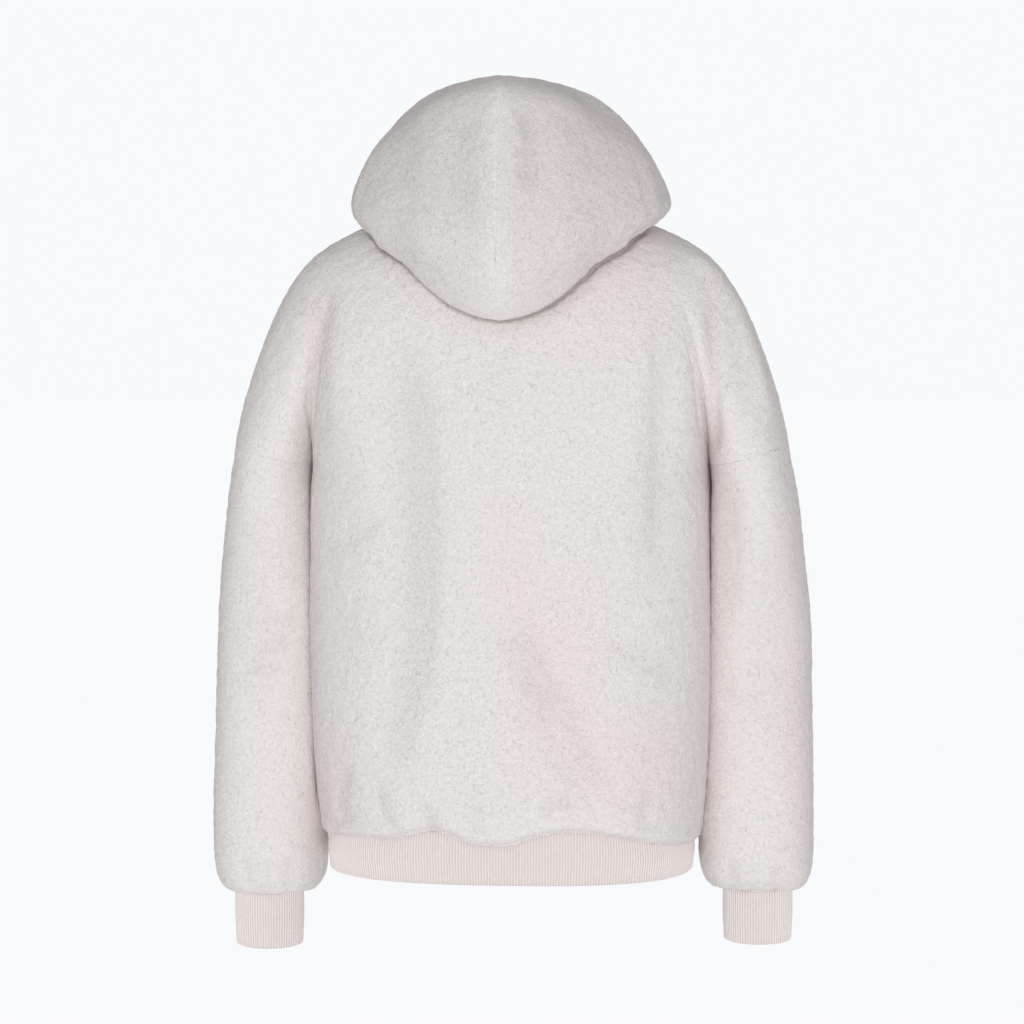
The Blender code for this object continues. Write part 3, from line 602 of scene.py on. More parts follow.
@dataclass
class ClothWall:
    """A closed thin wall: a fine outside, a coarser plain inside, and the rims between them."""

    name: str
    outer: np.ndarray
    inner: np.ndarray
    step: int
    cells: np.ndarray
    ring: bool = False
    painted_shade: Optional[np.ndarray] = None
    sharp: float = 80.0

    def loop(self, r: int, c: int, columns: int) -> list[int]:
        """Corners of one cell in turn, as place numbers in a grid of so many columns."""
        d = (c + 1) % columns if self.ring else c + 1
        return [r * columns + c, r * columns + d, (r + 1) * columns + d, (r + 1) * columns + c]

    def faces(self) -> tuple[list[tuple[int, ...]], list[int]]:
        """Number the faces.

        Returns:
            Faces as vertex numbers, outside first, and each one's material slot.
        """
        rows, columns = self.outer.shape[:2]
        few = self.inner.shape[1]
        base = rows * columns
        n = self.step
        outside: list[tuple[int, ...]] = []
        inside: list[tuple[int, ...]] = []
        rims: list[tuple[int, ...]] = []
        for r, c in np.argwhere(self.cells).tolist():
            outside += [tuple(self.loop(i, j, columns)) for i in range(r * n, r * n + n)
                        for j in range(c * n, c * n + n)]
            inside.append(tuple(base + corner for corner in reversed(self.loop(r, c, few))))
            rims += self.rims(r, c, columns, few, base)
        slots = [0] * len(outside) + [1] * len(inside) + [0] * len(rims)
        return outside + inside + rims, slots

    def covered(self, r: int, c: int) -> bool:
        """Whether a coarse cell is cloth."""
        rows, columns = self.cells.shape
        if self.ring:
            c %= columns
        return 0 <= r < rows and 0 <= c < columns and bool(self.cells[r, c])

    def rims(self, r: int, c: int, columns: int, few: int, base: int) -> list[tuple[int, ...]]:
        """Rim faces of one coarse cell, where no other cell joins it.

        Args:
            r: Its row.
            c: Its column.
            columns: Columns of the outside.
            few: Columns of the inside.
            base: The inside's first vertex number.

        Returns:
            The rim faces.
        """
        n = self.step
        corners = [(r, c), (r, c + 1), (r + 1, c + 1), (r + 1, c)]
        beside = [(r - 1, c), (r, c + 1), (r + 1, c), (r, c - 1)]
        found = []
        for k in range(4):
            if self.covered(*beside[k]):
                continue
            (ra, ca), (rb, cb) = corners[k], corners[(k + 1) % 4]
            fine = []
            for step in range(n, -1, -1):
                fr = ra * n + (rb - ra) * step
                fc = ca * n + (cb - ca) * step
                fine.append(fr * columns + (fc % columns if self.ring else fc))
            near = [base + ra * few + (ca % few if self.ring else ca),
                    base + rb * few + (cb % few if self.ring else cb)]
            found.append(tuple(fine + near))
        return found

    def build(self, finish: bpy.types.Material, lining: bpy.types.Material) -> bpy.types.Object:
        """Make the object.

        Args:
            finish: Material of the outside and the rims.
            lining: Material of the inside.

        Returns:
            The new object, at the origin.
        """
        faces, slots = self.faces()
        points = np.concatenate((self.outer.reshape(-1, 3), self.inner.reshape(-1, 3))) * MM
        used = np.unique(np.concatenate([np.array(face) for face in faces]))
        number = np.zeros(len(points), int)
        number[used] = np.arange(len(used))
        mesh = bpy.data.meshes.new(self.name)
        mesh.from_pydata(points[used].tolist(), [], [tuple(number[list(face)]) for face in faces])
        mesh.materials.append(finish)
        mesh.materials.append(lining)
        mesh.polygons.foreach_set("material_index", slots)
        if self.painted_shade is not None:
            # Per-place painted shade, and below it the painted shade tint, for the fleece material to read
            level = np.zeros(len(points), np.float32)
            level[:self.painted_shade.size] = self.painted_shade.reshape(-1)
            layer = mesh.attributes.new("painted_shade", "FLOAT", "POINT")
            layer.data.foreach_set("value", level[used])
            layer = mesh.attributes.new("painted_shade_tint", "FLOAT", "POINT")
            layer.data.foreach_set("value", painted_shade_tint_at(points[used] / MM).astype(np.float32))
        return finished(mesh, self.sharp)


def painted_shade_tint_at(points: np.ndarray) -> np.ndarray:
    """How far the pile turns to its warmer painted shade tint at places in millimetres, 0 to 1."""
    total = np.zeros(len(points))
    for patch in PAINTED_SHADE_TINTS:
        x, z = (points[:, 0] - patch.x) / patch.reach_x, (points[:, 2] - patch.z) / patch.reach_z
        total += patch.share * np.exp(-(x ** 4 + z ** 4))
    return np.clip(total, 0.0, 1.0)


def place_piece(piece: bpy.types.Object, nodes: Sequence[str]) -> None:
    """Let a piece ride on the hoodie and stand for its solids.

    Args:
        piece: The new piece.
        nodes: The solids that it replaces.
    """
    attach(piece, HOODIE)
    if nodes:
        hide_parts(*nodes)
    LOG.info("%s: %d faces", piece.name, len(piece.data.polygons))


@dataclass
class BodyForm:
    """The body's outside, as the solids have it, read at any fractional row and column.

    Rows run 0 to 9 down the yoke and 10 to 20 down the torso. Columns run 0 to 10 over the half
    torso, from the middle to the side, and on to 16 over the half arm.
    """

    torso_columns: int = 10
    arm_columns: int = 6
    fullness: float = 2.6
    arm_fullness: float = 2.3
    groove_spread: float = 0.035
    shoulder_rise: float = 4.0
    neck_rise: float = 2.0
    neck_rise_step: float = 0.5
    front_edge: float = 7.0
    seam_gap: float = 0.3
    hem_wave: float = 12.0
    hem_wave_reach: float = 185.0
    fold_fade: float = 60.0
    fold_reach: float = 1.5
    fold_sharpness: float = 2.2
    arm_half_depth: float = 84.0
    sway: dict[Side, tuple[float, float]] = field(
        default_factory=lambda: {Side.LEFT: (4.0, -6.0), Side.RIGHT: (0.0, 4.0)})
    cuff_bottom: dict[Side, float] = field(
        default_factory=lambda: {Side.LEFT: -751.0, Side.RIGHT: -738.3})
    hem_lift_top: float = -540.0
    hem_lift_reach: float = 70.0
    hem_lifts_back: tuple[tuple[float, float], ...] = (
        (-183, 0), (-168, 1), (-144, 4), (-120, 8), (-96, 11), (-75, 12), (-57, 11), (-40, 8), (-28, 4),
        (-10, -2), (10, -3), (29, 0), (50, 8), (68, 11), (90, 8), (116, 5), (135, 6), (154, 7), (183, 5))
    hem_lifts_front: tuple[tuple[float, float], ...] = (
        (-183, 0), (-150, 4), (-120, 9), (-92, 7), (-60, 3), (-34, 5), (0, 4), (30, 3), (58, 8), (84, 10),
        (112, 5), (145, 7), (183, 5))
    yoke: tuple[YokeRow, ...] = (
        YokeRow(-18, -66, 0, 92, 66, 75, 90, 0.00),
        YokeRow(-38, -86, -17, 130, 94, 97, 108, 0.00),
        YokeRow(-62, -107, -34, 168, 124, 114, 121, 0.00),
        YokeRow(-88, -128, -54, 198, 154, 124, 128, 0.00),
        YokeRow(-116, -150, -82, 220, 174, 131, 132, 0.03),
        YokeRow(-148, -174, -116, 238, 185, 137, 135, 0.09),
        YokeRow(-182, -200, -152, 252, 191, 142, 137, 0.19),
        YokeRow(-214, -225, -188, 264, 194, 146, 139, 0.38),
        YokeRow(-243, -248, -216, 271, 196, 148, 140, 0.68),
        YokeRow(-266, -266, -235, 275, 197, 149, 140, 1.00),
    )
    torso: tuple[TorsoRow, ...] = (
        TorsoRow(-275, 197.5, 149, 140, 0.0),
        TorsoRow(-305, 198.5, 150, 141, 0.0),
        TorsoRow(-350, 199.0, 150, 141, 0.0),
        TorsoRow(-400, 199.0, 150, 141, 0.0),
        TorsoRow(-450, 198.5, 150, 141, 0.0),
        TorsoRow(-500, 197.5, 150, 141, 0.1),
        TorsoRow(-545, 196.0, 150, 141, 0.3),
        TorsoRow(-580, 193.5, 149, 140, 0.6),
        TorsoRow(-600, 190.5, 147, 138, 0.9),
        TorsoRow(-610, 187.0, 143, 135, 1.0),
        TorsoRow(-616, 182.0, 133, 128, 1.0),
    )
    folds: tuple[Fold, ...] = (
        Fold(Face.BACK, 112, -120, 92, -430, 34, 5.0),
        Fold(Face.BACK, 92, -400, 118, -590, 30, 3.5),
        Fold(Face.BACK, -150, -130, -146, -390, 24, 3.0),
        Fold(Face.BACK, -14, -400, -100, -590, 34, 4.5),
        Fold(Face.FRONT, 120, -140, 96, -470, 32, 4.5),
        Fold(Face.FRONT, -112, -150, -128, -430, 32, 4.0),
        Fold(Face.FRONT, -60, -420, -104, -590, 30, 4.0),
    )

    def torso_share(self, u: np.ndarray) -> np.ndarray:
        """Share of the torso's half width at columns u."""
        turn = math.pi / 2 * np.minimum(u, self.torso_columns) / self.torso_columns
        return np.sin(turn) ** (2 / self.fullness)

    def arm_share(self, u: np.ndarray) -> np.ndarray:
        """Share of the arm's width at columns u."""
        return 0.5 - 0.5 * np.cos(math.pi * np.maximum(u - self.torso_columns, 0.0) / self.arm_columns)

    def arm_height(self, u: np.ndarray) -> np.ndarray:
        """Half depth of the arm's oval at columns u, as a share of its largest."""
        return oval(2 * self.arm_share(u) - 1, self.arm_fullness)

    def armhole_dip(self, u: np.ndarray, face: Face) -> np.ndarray:
        """How far the armhole's section lies under one full oval.

        Args:
            u: Columns.
            face: Back or front.

        Returns:
            Depths in millimetres.
        """
        row = self.yoke[-1]
        depth = row.depth_front if face is Face.FRONT else row.depth_back
        on_torso = u <= self.torso_columns
        x = np.where(on_torso, row.groove_x * self.torso_share(u),
                     row.groove_x + (row.half_width - row.groove_x) * self.arm_share(u))
        section = np.where(on_torso, depth * oval(self.torso_share(u), self.fullness),
                           self.arm_half_depth * self.arm_height(u))
        return depth * oval(x / row.half_width, self.fullness) - section

    def yoke_points(self, v: np.ndarray, u: np.ndarray, face: Face) -> np.ndarray:
        """Places between neckline and armhole, on the left half.

        Args:
            v: Row numbers, shaped (rows,).
            u: Columns, shaped (rows or 1, columns).
            face: Back or front.

        Returns:
            Places, shaped (rows, columns, 3).
        """
        row = read_rows(self.yoke, v)
        z_back, z_front, z_side, half, groove, d_back, d_front, share = (row[:, k:k + 1] for k in range(8))
        spread = self.groove_spread * (1.0 - share)
        spread = spread * np.interp(np.abs(u - self.torso_columns), (0, 1, 2, 3), (0.0, 1.0, 0.5, 0.0))
        x = np.where(u <= self.torso_columns, groove * (self.torso_share(u) - spread),
                     groove + (half - groove) * (self.arm_share(u) + 2 * spread))
        depth, z_middle = (d_front, z_front) if face is Face.FRONT else (d_back, z_back)
        across = np.clip(x / half, 0.0, 1.0)
        rise = np.minimum(self.shoulder_rise, self.neck_rise + self.neck_rise_step * v)[:, None]
        y = depth * oval(across, self.fullness) - share * self.armhole_dip(u, face)
        z = z_middle + (z_side - z_middle) * across ** rise
        return np.stack(np.broadcast_arrays(x, face.value * y, z), axis=-1)

    def drop(self, x: np.ndarray) -> np.ndarray:
        """How far the hem seam hangs lower at places x."""
        return self.hem_wave * np.minimum(1.0, np.abs(x) / self.hem_wave_reach) ** 2

    def hem_lift(self, x: np.ndarray, face: Face) -> np.ndarray:
        """How far the hem seam is drawn up by its gathers, at places across."""
        rows = self.hem_lifts_front if face is Face.FRONT else self.hem_lifts_back
        at = np.interp(x, [row[0] for row in rows], np.arange(len(rows)))
        return read_rows([(row[1],) for row in rows], at.reshape(-1))[:, 0].reshape(x.shape)

    def near_hem(self, z: np.ndarray) -> np.ndarray:
        """Share of the hem's lift at heights z."""
        return ease((self.hem_lift_top - z) / self.hem_lift_reach)

    def torso_points(self, v: np.ndarray, u: np.ndarray, face: Face) -> np.ndarray:
        """Places between armhole and hem, on the left half.

        Args:
            v: Row numbers counted from the torso's first row, shaped (rows,).
            u: Columns, shaped (rows or 1, columns).
            face: Back or front.

        Returns:
            Places, shaped (rows, columns, 3).
        """
        row = read_rows(self.torso, v)
        z, half, d_back, d_front, wave = (row[:, k:k + 1] for k in range(5))
        x = half * self.torso_share(u)
        y = (d_front if face is Face.FRONT else d_back) * oval(self.torso_share(u), self.fullness)
        return np.stack(np.broadcast_arrays(x, face.value * y, z - wave * self.drop(x)), axis=-1)

    def points(self, v: np.ndarray, u: np.ndarray, face: Face) -> np.ndarray:
        """Places anywhere on the body's left half.

        Args:
            v: Row numbers, shaped (rows,).
            u: Columns, shaped (rows or 1, columns).
            face: Back or front.

        Returns:
            Places, shaped (rows, columns, 3).
        """
        last = len(self.yoke) - 1
        high = self.yoke_points(np.minimum(v, last), u, face)
        low = self.torso_points(np.maximum(v - last - 1, 0.0), u, face)
        share = np.clip(v - last, 0.0, 1.0)[:, None, None]
        return high * (1.0 - share) + low * share

    def fold_depth(self, x: np.ndarray, z: np.ndarray, face: Face) -> np.ndarray:
        """How deep the solids' folds press in.

        Args:
            x: Places across, +X to the wearer's left.
            z: Heights.
            face: Back or front.

        Returns:
            Depths in millimetres.
        """
        depth = np.zeros(x.shape)
        for fold in self.folds:
            if fold.face is not face:
                continue
            down = (fold.z_high - z) / (fold.z_high - fold.z_low)
            ends = np.clip(np.minimum(fold.z_high - z, z - fold.z_low) / self.fold_fade, 0.0, 1.0)
            away = (x - fold.x_high - (fold.x_low - fold.x_high) * down) / fold.half_width
            pressed = fold.depth * ends * np.exp(-self.fold_sharpness * away * away)
            depth += np.where(np.abs(away) < self.fold_reach, pressed, 0.0)
        return depth

    def even_rows(self, low: float, high: float, count: int) -> np.ndarray:
        """Row numbers at about even steps down the body.

        Args:
            low: First row number.
            high: Last row number.
            count: How many steps.

        Returns:
            count + 1 row numbers.
        """
        v = np.linspace(low, high, 40 * int(round(high - low)) + 1)
        u = np.array(((0.0, 5.0, 9.0),))
        dense = self.points(v, u, Face.BACK).transpose(1, 0, 2)
        lengths = arc_lengths(dense).mean(axis=0)
        return np.interp(np.linspace(0.0, lengths[-1], count + 1), lengths, v)

    def even_columns(self, v: np.ndarray, low: float, high: float, count: int, face: Face) -> np.ndarray:
        """Columns at count even steps round the body, for each row number."""
        u = np.linspace(low, high, 241)
        dense = self.points(v, u[None, :], face)
        return np.array([even_values(u, row, count) for row in dense])


@dataclass
class PileRelief:
    """How far the pile stands over its wall, the dip where a seam binds it, and the painted shade in its
    creases and along its seams.
    """

    seed: int = 11
    clump: float = 7.5
    clump_height: float = 0.5
    curl: float = 3.6
    curl_height: float = 0.5
    roll: float = 46.0
    roll_height: float = 1.0
    seam_depth: float = 0.3
    seam_width: float = 3.2
    puff: float = 2.4
    puff_place: float = 9.0
    puff_width: float = 7.5
    spacing: float = 2.3
    hairline: float = 0.03

    def __post_init__(self) -> None:
        """Make the noise."""
        self.noise = PileNoise(self.seed)

    def height(self, points: np.ndarray, seam_steps: np.ndarray) -> np.ndarray:
        """Relief of the pile.

        Args:
            points: Places on the wall.
            seam_steps: Steps from each place to the nearest seam.

        Returns:
            Heights in millimetres, negative where it dips.
        """
        away = seam_steps * self.spacing
        free = ease(away / 3.0)
        uneven = self.noise.at(points, self.clump) * self.clump_height
        uneven += self.noise.at(points + 91.7, self.curl) * self.curl_height
        soft = self.noise.at(points * (1.0, 1.0, 0.7) + 17.3, self.roll) * self.roll_height
        dip = self.seam_depth * bell(away, self.seam_width)
        return uneven * (0.35 + 0.65 * free) + soft * ease(away / 30.0) - dip

    def painted_shade(self, pressed: np.ndarray, seam_steps: np.ndarray) -> np.ndarray:
        """How much painted shade each place takes: more in its creases, by their depth, and a little along
        its nearest seam.
        """
        return self.painted_crease_shade(pressed) + 0.03 * bell(seam_steps * self.spacing, 2.4)

    def painted_crease_shade(self, pressed: np.ndarray) -> np.ndarray:
        """How much painted shade the creases give each place, by their depth."""
        return np.clip(pressed / 14.0, 0.0, 0.2)

    def puffed(self, rows: int) -> np.ndarray:
        """How the pile swells just above a gathered lower edge, for each of a panel's rows."""
        up = np.arange(rows - 1, -1, -1)[:, None] * self.spacing
        return self.puff * bell(up - self.puff_place, self.puff_width)


@dataclass(frozen=True)
class Lip:
    """The pile's lower edge, which hangs over a rib and turns under, its turned-under rows darkened with
    painted shade.
    """

    out: tuple[float, ...]
    sag: tuple[float, ...]
    drop: float
    rows: int
    wave: float
    wave_length: float
    turned: tuple[float, ...] = (1.0, 1.0, 0.75, 0.0)
    shade: float = 0.3

    def hang(self, outer: np.ndarray, painted_shade: np.ndarray, grid: np.ndarray, normals: np.ndarray,
             noise: PileNoise) -> tuple[np.ndarray, np.ndarray]:
        """Draw the last rows down and add those that turn under.

        Args:
            outer: The outside, its last rows changed in place.
            painted_shade: How much painted shade each place takes.
            grid: The wall's places.
            normals: The wall's directions.
            noise: The unevenness of the edge.

        Returns:
            The outside and its painted shade, with the rows that turn under.
        """
        level = normals[-1].copy()
        level[:, 2] = 0.0
        level = unit(level)
        hang = self.drop + self.wave * noise.at(grid[-1], self.wave_length)
        for back in range(self.rows):
            share = 1.0 - back / self.rows
            outer[-1 - back] += level * (self.out[0] * share ** 1.5)
            outer[-1 - back, :, 2] -= hang * share ** 2
        extra = []
        for out, turned, sag in zip(self.out, self.turned, self.sag):
            row = grid[-1] + level * out
            row[:, 2] -= hang * turned + sag
            extra.append(row)
        # The rows that turn under take painted shade
        shade = np.full((len(self.out), painted_shade.shape[1]), self.shade)
        return np.concatenate((outer, np.array(extra))), np.concatenate((painted_shade, shade))


def lined(grid: np.ndarray, normals: np.ndarray, wall: float, step: int) -> np.ndarray:
    """The plain coarse inside of a wall, with one more row for its lip.

    Args:
        grid: The wall's places.
        normals: The wall's directions.
        wall: Its thickness.
        step: Fine steps in one coarse step.

    Returns:
        The inside's places.
    """
    inner = (grid - normals * wall)[::step, ::step]
    last = inner[-1:].copy()
    inner[-1, :, 2] += LIP_SEAM
    return np.concatenate((inner, last))


def press(creases: Sequence[Crease], grid: np.ndarray) -> np.ndarray:
    """How deep some creases press in all, at each place of a grid."""
    return sum((crease.depth_at(grid[..., 0], grid[..., 2]) for crease in creases), np.zeros(grid.shape[:2]))


@dataclass
class BodyPanels:
    """Back and fronts, from the neckline to the hem seam, with both dropped shoulders."""

    form: BodyForm
    relief: PileRelief
    finishes: Finishes
    hood_edge: np.ndarray
    wall: float = 5.0
    step: int = 4
    yoke_rows: int = 120
    torso_rows: int = 156
    torso_steps: int = 124
    arm_steps: int = 44
    lip: Lip = Lip((3.4, 2.6, 1.5, 1.1), (1.0, 1.6, 0.0, 0.0), 1.5, 6, 0.8, 11.0)
    crease_from_side: float = 70.0
    side_rows: float = 8.0
    roll_blend: float = 60.0
    roll_place: tuple[float, float] = (78.0, 34.0)
    # Where the painted shadow under the hood reaches and fades
    no_hood: float = 900.0
    under_from: float = 30.0
    under_fade: float = 20.0
    shade_place: tuple[float, float] = (-62.0, 62.0)
    front_run: int = 5
    front_spread: float = 0.4
    front_free: float = 0.6
    side_pile: float = 1.3
    side_roll: float = 2.2
    roll_end: float = -590.0
    # Strengths and reaches of the painted shadow under the hood, and how far the back is pressed in under its
    # edge
    shade: float = 0.45
    shade_reach: float = 22.0
    under_reach: float = 3.2
    under_depth: float = 2.4
    back_flat: tuple[float, float] = (0.98, 0.64)
    back_area: float = 0.384
    front_flat: tuple[float, float] = (0.485, 0.60)
    front_area: float = 0.182
    back_creases: tuple[Crease, ...] = (
        Crease(((97, -104), (76, -190), (70, -300), (74, -420), (100, -560)), 20.0, 3.2, 0.25),
        Crease(((-148, -92), (-151, -180), (-150, -300), (-146, -372)), 11.0, 2.6, -0.3),
        Crease(((-12, -380), (-38, -450), (-78, -520), (-104, -596)), 17.0, 3.4, 0.3),
        Crease(((-42, -470), (-80, -540), (-112, -600)), 12.0, -2.2),
        Crease(((-40, -596), (-58, -572), (-76, -590)), 7.0, 2.6),
        Crease(((122, -560), (112, -592), (104, -612)), 8.0, 2.6),
        Crease(((78, -575), (66, -598), (60, -616)), 7.0, 2.8),
        Crease(((30, -560), (22, -590), (26, -616)), 8.0, 2.0),
        Crease(((150, -540), (158, -580), (152, -616)), 8.0, 2.2),
        Crease(((-148, -560), (-140, -590), (-146, -616)), 8.0, 2.2),
        Crease(((172, -62), (178, -120), (180, -190), (176, -262)), 13.0, 4.2),
        Crease(((-161, -33), (-192, -59), (-221, -95), (-235, -134), (-250, -182), (-267, -220)), 9.0, -7.0),
        Crease(((-176, -24), (-206, -50), (-238, -90), (-251, -130), (-266, -180)), 9.0, 5.5),
        Crease(((-198, -84), (-203, -140), (-204, -200), (-203, -262)), 7.0, 4.6),
        Crease(((110, -300), (150, -330), (180, -344)), 13.0, 1.6),
        Crease(((-90, -420), (-140, -440), (-180, -470)), 12.0, 1.5),
        Crease(((20, -150), (0, -230), (-10, -330)), 34.0, -1.6),
    )
    front_creases: tuple[Crease, ...] = (
        Crease(((110, -120), (92, -220), (88, -340), (104, -470)), 18.0, 3.0, 0.25),
        Crease(((-104, -130), (-118, -240), (-124, -360), (-112, -440)), 17.0, 3.0, -0.25),
        Crease(((-40, -430), (-78, -510), (-108, -590)), 15.0, 3.2),
        Crease(((34, -480), (70, -540), (92, -600)), 13.0, 2.6),
        Crease(((150, -545), (142, -585), (150, -612)), 8.0, 2.4),
        Crease(((-150, -550), (-158, -588), (-150, -612)), 8.0, 2.4),
        Crease(((58, -570), (50, -595), (54, -612)), 7.0, 2.4),
        Crease(((-32, -575), (-26, -598), (-30, -612)), 6.0, 2.0),
        Crease(((120, -290), (156, -320), (184, -334)), 13.0, 1.6),
        Crease(((-118, -280), (-150, -306), (-184, -322)), 13.0, 1.6),
    )

    def half_grid(self, face: Face, side: Side) -> tuple[np.ndarray, np.ndarray]:
        """Fine grid of one quarter, drawn on the left, with the solids' folds pressed in.

        Args:
            face: Back or front.
            side: Which half it will be, for the folds' places.

        Returns:
            The places, shaped (rows, columns, 3), and the steps from each to the nearest seam.
        """
        last = len(self.form.yoke) - 1
        end = last + len(self.form.torso)
        v = np.concatenate((self.form.even_rows(0.0, last, self.yoke_rows)[:-1],
                            self.form.even_rows(last, end, self.torso_rows)))
        side_column = self.form.torso_columns + self.form.arm_columns
        torso_u = self.form.even_columns(v, 0.0, self.form.torso_columns, self.torso_steps, face)
        arm_v = np.minimum(v, last)
        arm_u = self.form.even_columns(arm_v, self.form.torso_columns, side_column, self.arm_steps, face)
        grid = np.concatenate((self.form.points(v, torso_u, face),
                               self.form.points(arm_v, arm_u, face)[:, 1:]), axis=1)
        fade = ease((self.torso_steps - 8 - np.arange(grid.shape[1])) / 16.0)
        depth = self.form.fold_depth(side.value * grid[..., 0], grid[..., 2], face) * fade
        grid[..., 1] -= face.value * depth
        grid[..., 2] += self.form.hem_lift(side.value * grid[..., 0], face) * self.form.near_hem(grid[..., 2])
        steps = self.seam_steps(grid.shape[0], grid.shape[1])
        return grid, steps

    def seam_steps(self, rows: int, columns: int) -> np.ndarray:
        """Steps from each place of a quarter to its nearest seam.

        Args:
            rows: Rows of places.
            columns: Columns of places.

        Returns:
            The steps.
        """
        steps = np.full((rows, columns), 999.0)
        c = np.arange(columns, dtype=float)[None, :]
        r = np.arange(rows, dtype=float)[:, None]
        yoke = r <= self.yoke_rows
        steps = np.where(yoke, np.minimum(steps, columns - 1 - c), np.minimum(steps, self.torso_steps - c))
        steps = np.where(yoke & (c > self.torso_steps), np.minimum(steps, self.yoke_rows - r), steps)
        return np.maximum(steps, 0.0)

    def fix_edges(self, grid: np.ndarray, normals: np.ndarray, face: Face) -> None:
        """Keep a quarter's seams on their lines, and their directions level.

        Args:
            grid: Its places, changed in place.
            normals: Its directions, changed in place.
            face: Back or front.
        """
        gap = self.form.seam_gap / 2
        near = np.abs(grid[..., 1]) < gap
        grid[..., 1] = np.where(near, face.value * gap, grid[..., 1])
        normals[..., 1] = np.where(near, 0.0, normals[..., 1])
        normals[0, :, 2] = 0.0
        normals[self.yoke_rows, self.torso_steps + 1:, 2] = 0.0
        normals[-1, :, 2] = 0.0
        normals[:] = unit(normals)

    def dress(self, grid: np.ndarray, steps: np.ndarray, face: Face,
              creases: Sequence[Crease]) -> tuple[np.ndarray, np.ndarray, np.ndarray]:
        """Raise the pile and press the creases of a whole panel, with painted shade in its creases and seams
        and, on the back, a painted shadow under the hood.

        Args:
            grid: The wall's places, in their final place.
            steps: Steps to the nearest seam.
            face: Back or front.
            creases: Its creases.

        Returns:
            The outside with the pile, the wall's directions, and how much painted shade each place takes.
        """
        normals = grid_normals(grid)
        if (normals[:self.yoke_rows, :, 1].mean() > 0) != (face is Face.BACK):
            normals = -normals
        self.fix_edges(grid, normals, face)
        pressed = press(creases, grid)
        middle = ease(np.abs(grid[..., 1]) / self.crease_from_side)
        pressed *= middle
        height = self.relief.height(grid, steps) - pressed + self.relief.puffed(len(grid))
        below = ease((np.arange(len(grid)) - self.yoke_rows) / self.side_rows)[:, None]
        low = ease((grid[..., 2] - self.roll_end) / self.roll_blend)
        height += self.side_pile * below * (1.0 - middle)
        rolled = bell(np.abs(grid[..., 1]) - self.roll_place[0], self.roll_place[1])
        height += self.side_roll * below * low * rolled
        outer = grid + normals * height[..., None]
        at_side = np.abs(grid[..., 1]) < self.form.seam_gap
        outer[..., 1] = np.where(at_side, face.value * self.relief.hairline, outer[..., 1])
        arm = np.arange(grid.shape[1])
        arm = np.abs(arm - arm.mean()) > self.torso_steps if face is Face.BACK else arm > self.torso_steps
        outer[self.yoke_rows, arm, 2] -= self.form.seam_gap / 2 - self.relief.hairline
        # Painted shade in the creases and along the seams
        painted_shade = self.relief.painted_shade(pressed, steps)
        # Painted shadow on the back: a dark line just under the hood's lower edge, where the back is also
        # pressed in a little, and a broader soft painted shadow below the hood to the wearer's right of the
        # middle
        if face is Face.BACK:
            edge = np.interp(np.abs(grid[..., 0]), self.hood_edge[:, 0], self.hood_edge[:, 1],
                             right=self.no_hood)
            under = ease((grid[..., 2] - edge + self.under_reach) / self.under_reach)
            under *= ease((grid[..., 1] - self.under_from) / self.under_from)
            under *= ease((self.hood_edge[-1, 0] - np.abs(grid[..., 0])) / self.under_fade)
            soft = ease((grid[..., 2] - edge + self.shade_reach) / self.shade_reach)
            painted_shadow_across = bell(grid[..., 0] - self.shade_place[0], self.shade_place[1])
            painted_shade = painted_shade + under + self.shade * soft * painted_shadow_across
            outer -= normals * (self.under_depth * under)[..., None]
        return outer, normals, painted_shade

    def cells(self, half_first: bool) -> np.ndarray:
        """Which coarse cells of a quarter are cloth.

        Args:
            half_first: Whether the quarter's first column is its middle.

        Returns:
            True for each cell that is.
        """
        n = self.step
        rows = (self.yoke_rows + self.torso_rows) // n + 1
        columns = (self.torso_steps + self.arm_steps) // n
        cells = np.ones((rows, columns), bool)
        cells[self.yoke_rows // n:, self.torso_steps // n:] = False
        return cells if half_first else cells[:, ::-1]

    def build_back(self) -> None:
        """Back panel in one piece, with no centre seam."""
        left, steps = self.half_grid(Face.BACK, Side.LEFT)
        right, _ = self.half_grid(Face.BACK, Side.RIGHT)
        mirror = np.array((-1.0, 1.0, 1.0))
        grid = np.concatenate((right[:, :0:-1] * mirror, left), axis=1)
        steps = np.concatenate((steps[:, :0:-1], steps), axis=1)
        self.finish_panel("fleece_back", "back", grid, steps, Face.BACK,
                          np.concatenate((self.cells(False), self.cells(True)), axis=1),
                          self.back_creases)

    def build_front(self, side: Side) -> None:
        """One front panel, which stops beside the zip.

        Args:
            side: Which one.
        """
        grid, steps = self.half_grid(Face.FRONT, side)
        grid[:, 0, 0] = self.form.front_edge
        beside = np.arange(1, self.front_run + 1)
        grid[:, beside, 0] = np.maximum(grid[:, beside, 0], self.form.front_edge + self.front_spread * beside)
        steps = np.minimum(steps, np.arange(grid.shape[1], dtype=float)[None, :] + self.front_free)
        grid = grid * np.array((side.value, 1.0, 1.0))
        name = side.name.lower()
        self.finish_panel(f"fleece_front_{name}", f"front_{name}", grid, steps, Face.FRONT,
                          self.cells(True), self.front_creases)

    def finish_panel(self, name: str, node: str, grid: np.ndarray, steps: np.ndarray, face: Face,
                     cells: np.ndarray, creases: Sequence[Crease]) -> None:
        """Args:
            name: The piece's name.
            node: The solid it replaces.
            grid: The wall's places.
            steps: Steps to the nearest seam.
            face: Back or front.
            cells: Which coarse cells are cloth.
            creases: Its creases.
        """
        outer, normals, painted_shade = self.dress(grid, steps, face, creases)
        outer, painted_shade = self.lip.hang(outer, painted_shade, grid, normals, self.relief.noise)
        wall = ClothWall(name, outer, lined(grid, normals, self.wall, self.step), self.step, cells,
                         painted_shade=painted_shade)
        piece = wall.build(self.finishes.fleece, self.finishes.ground)
        place_piece(piece, [node])

    def build(self) -> None:
        """Build all three panels."""
        self.build_back()
        self.build_front(Side.LEFT)
        self.build_front(Side.RIGHT)


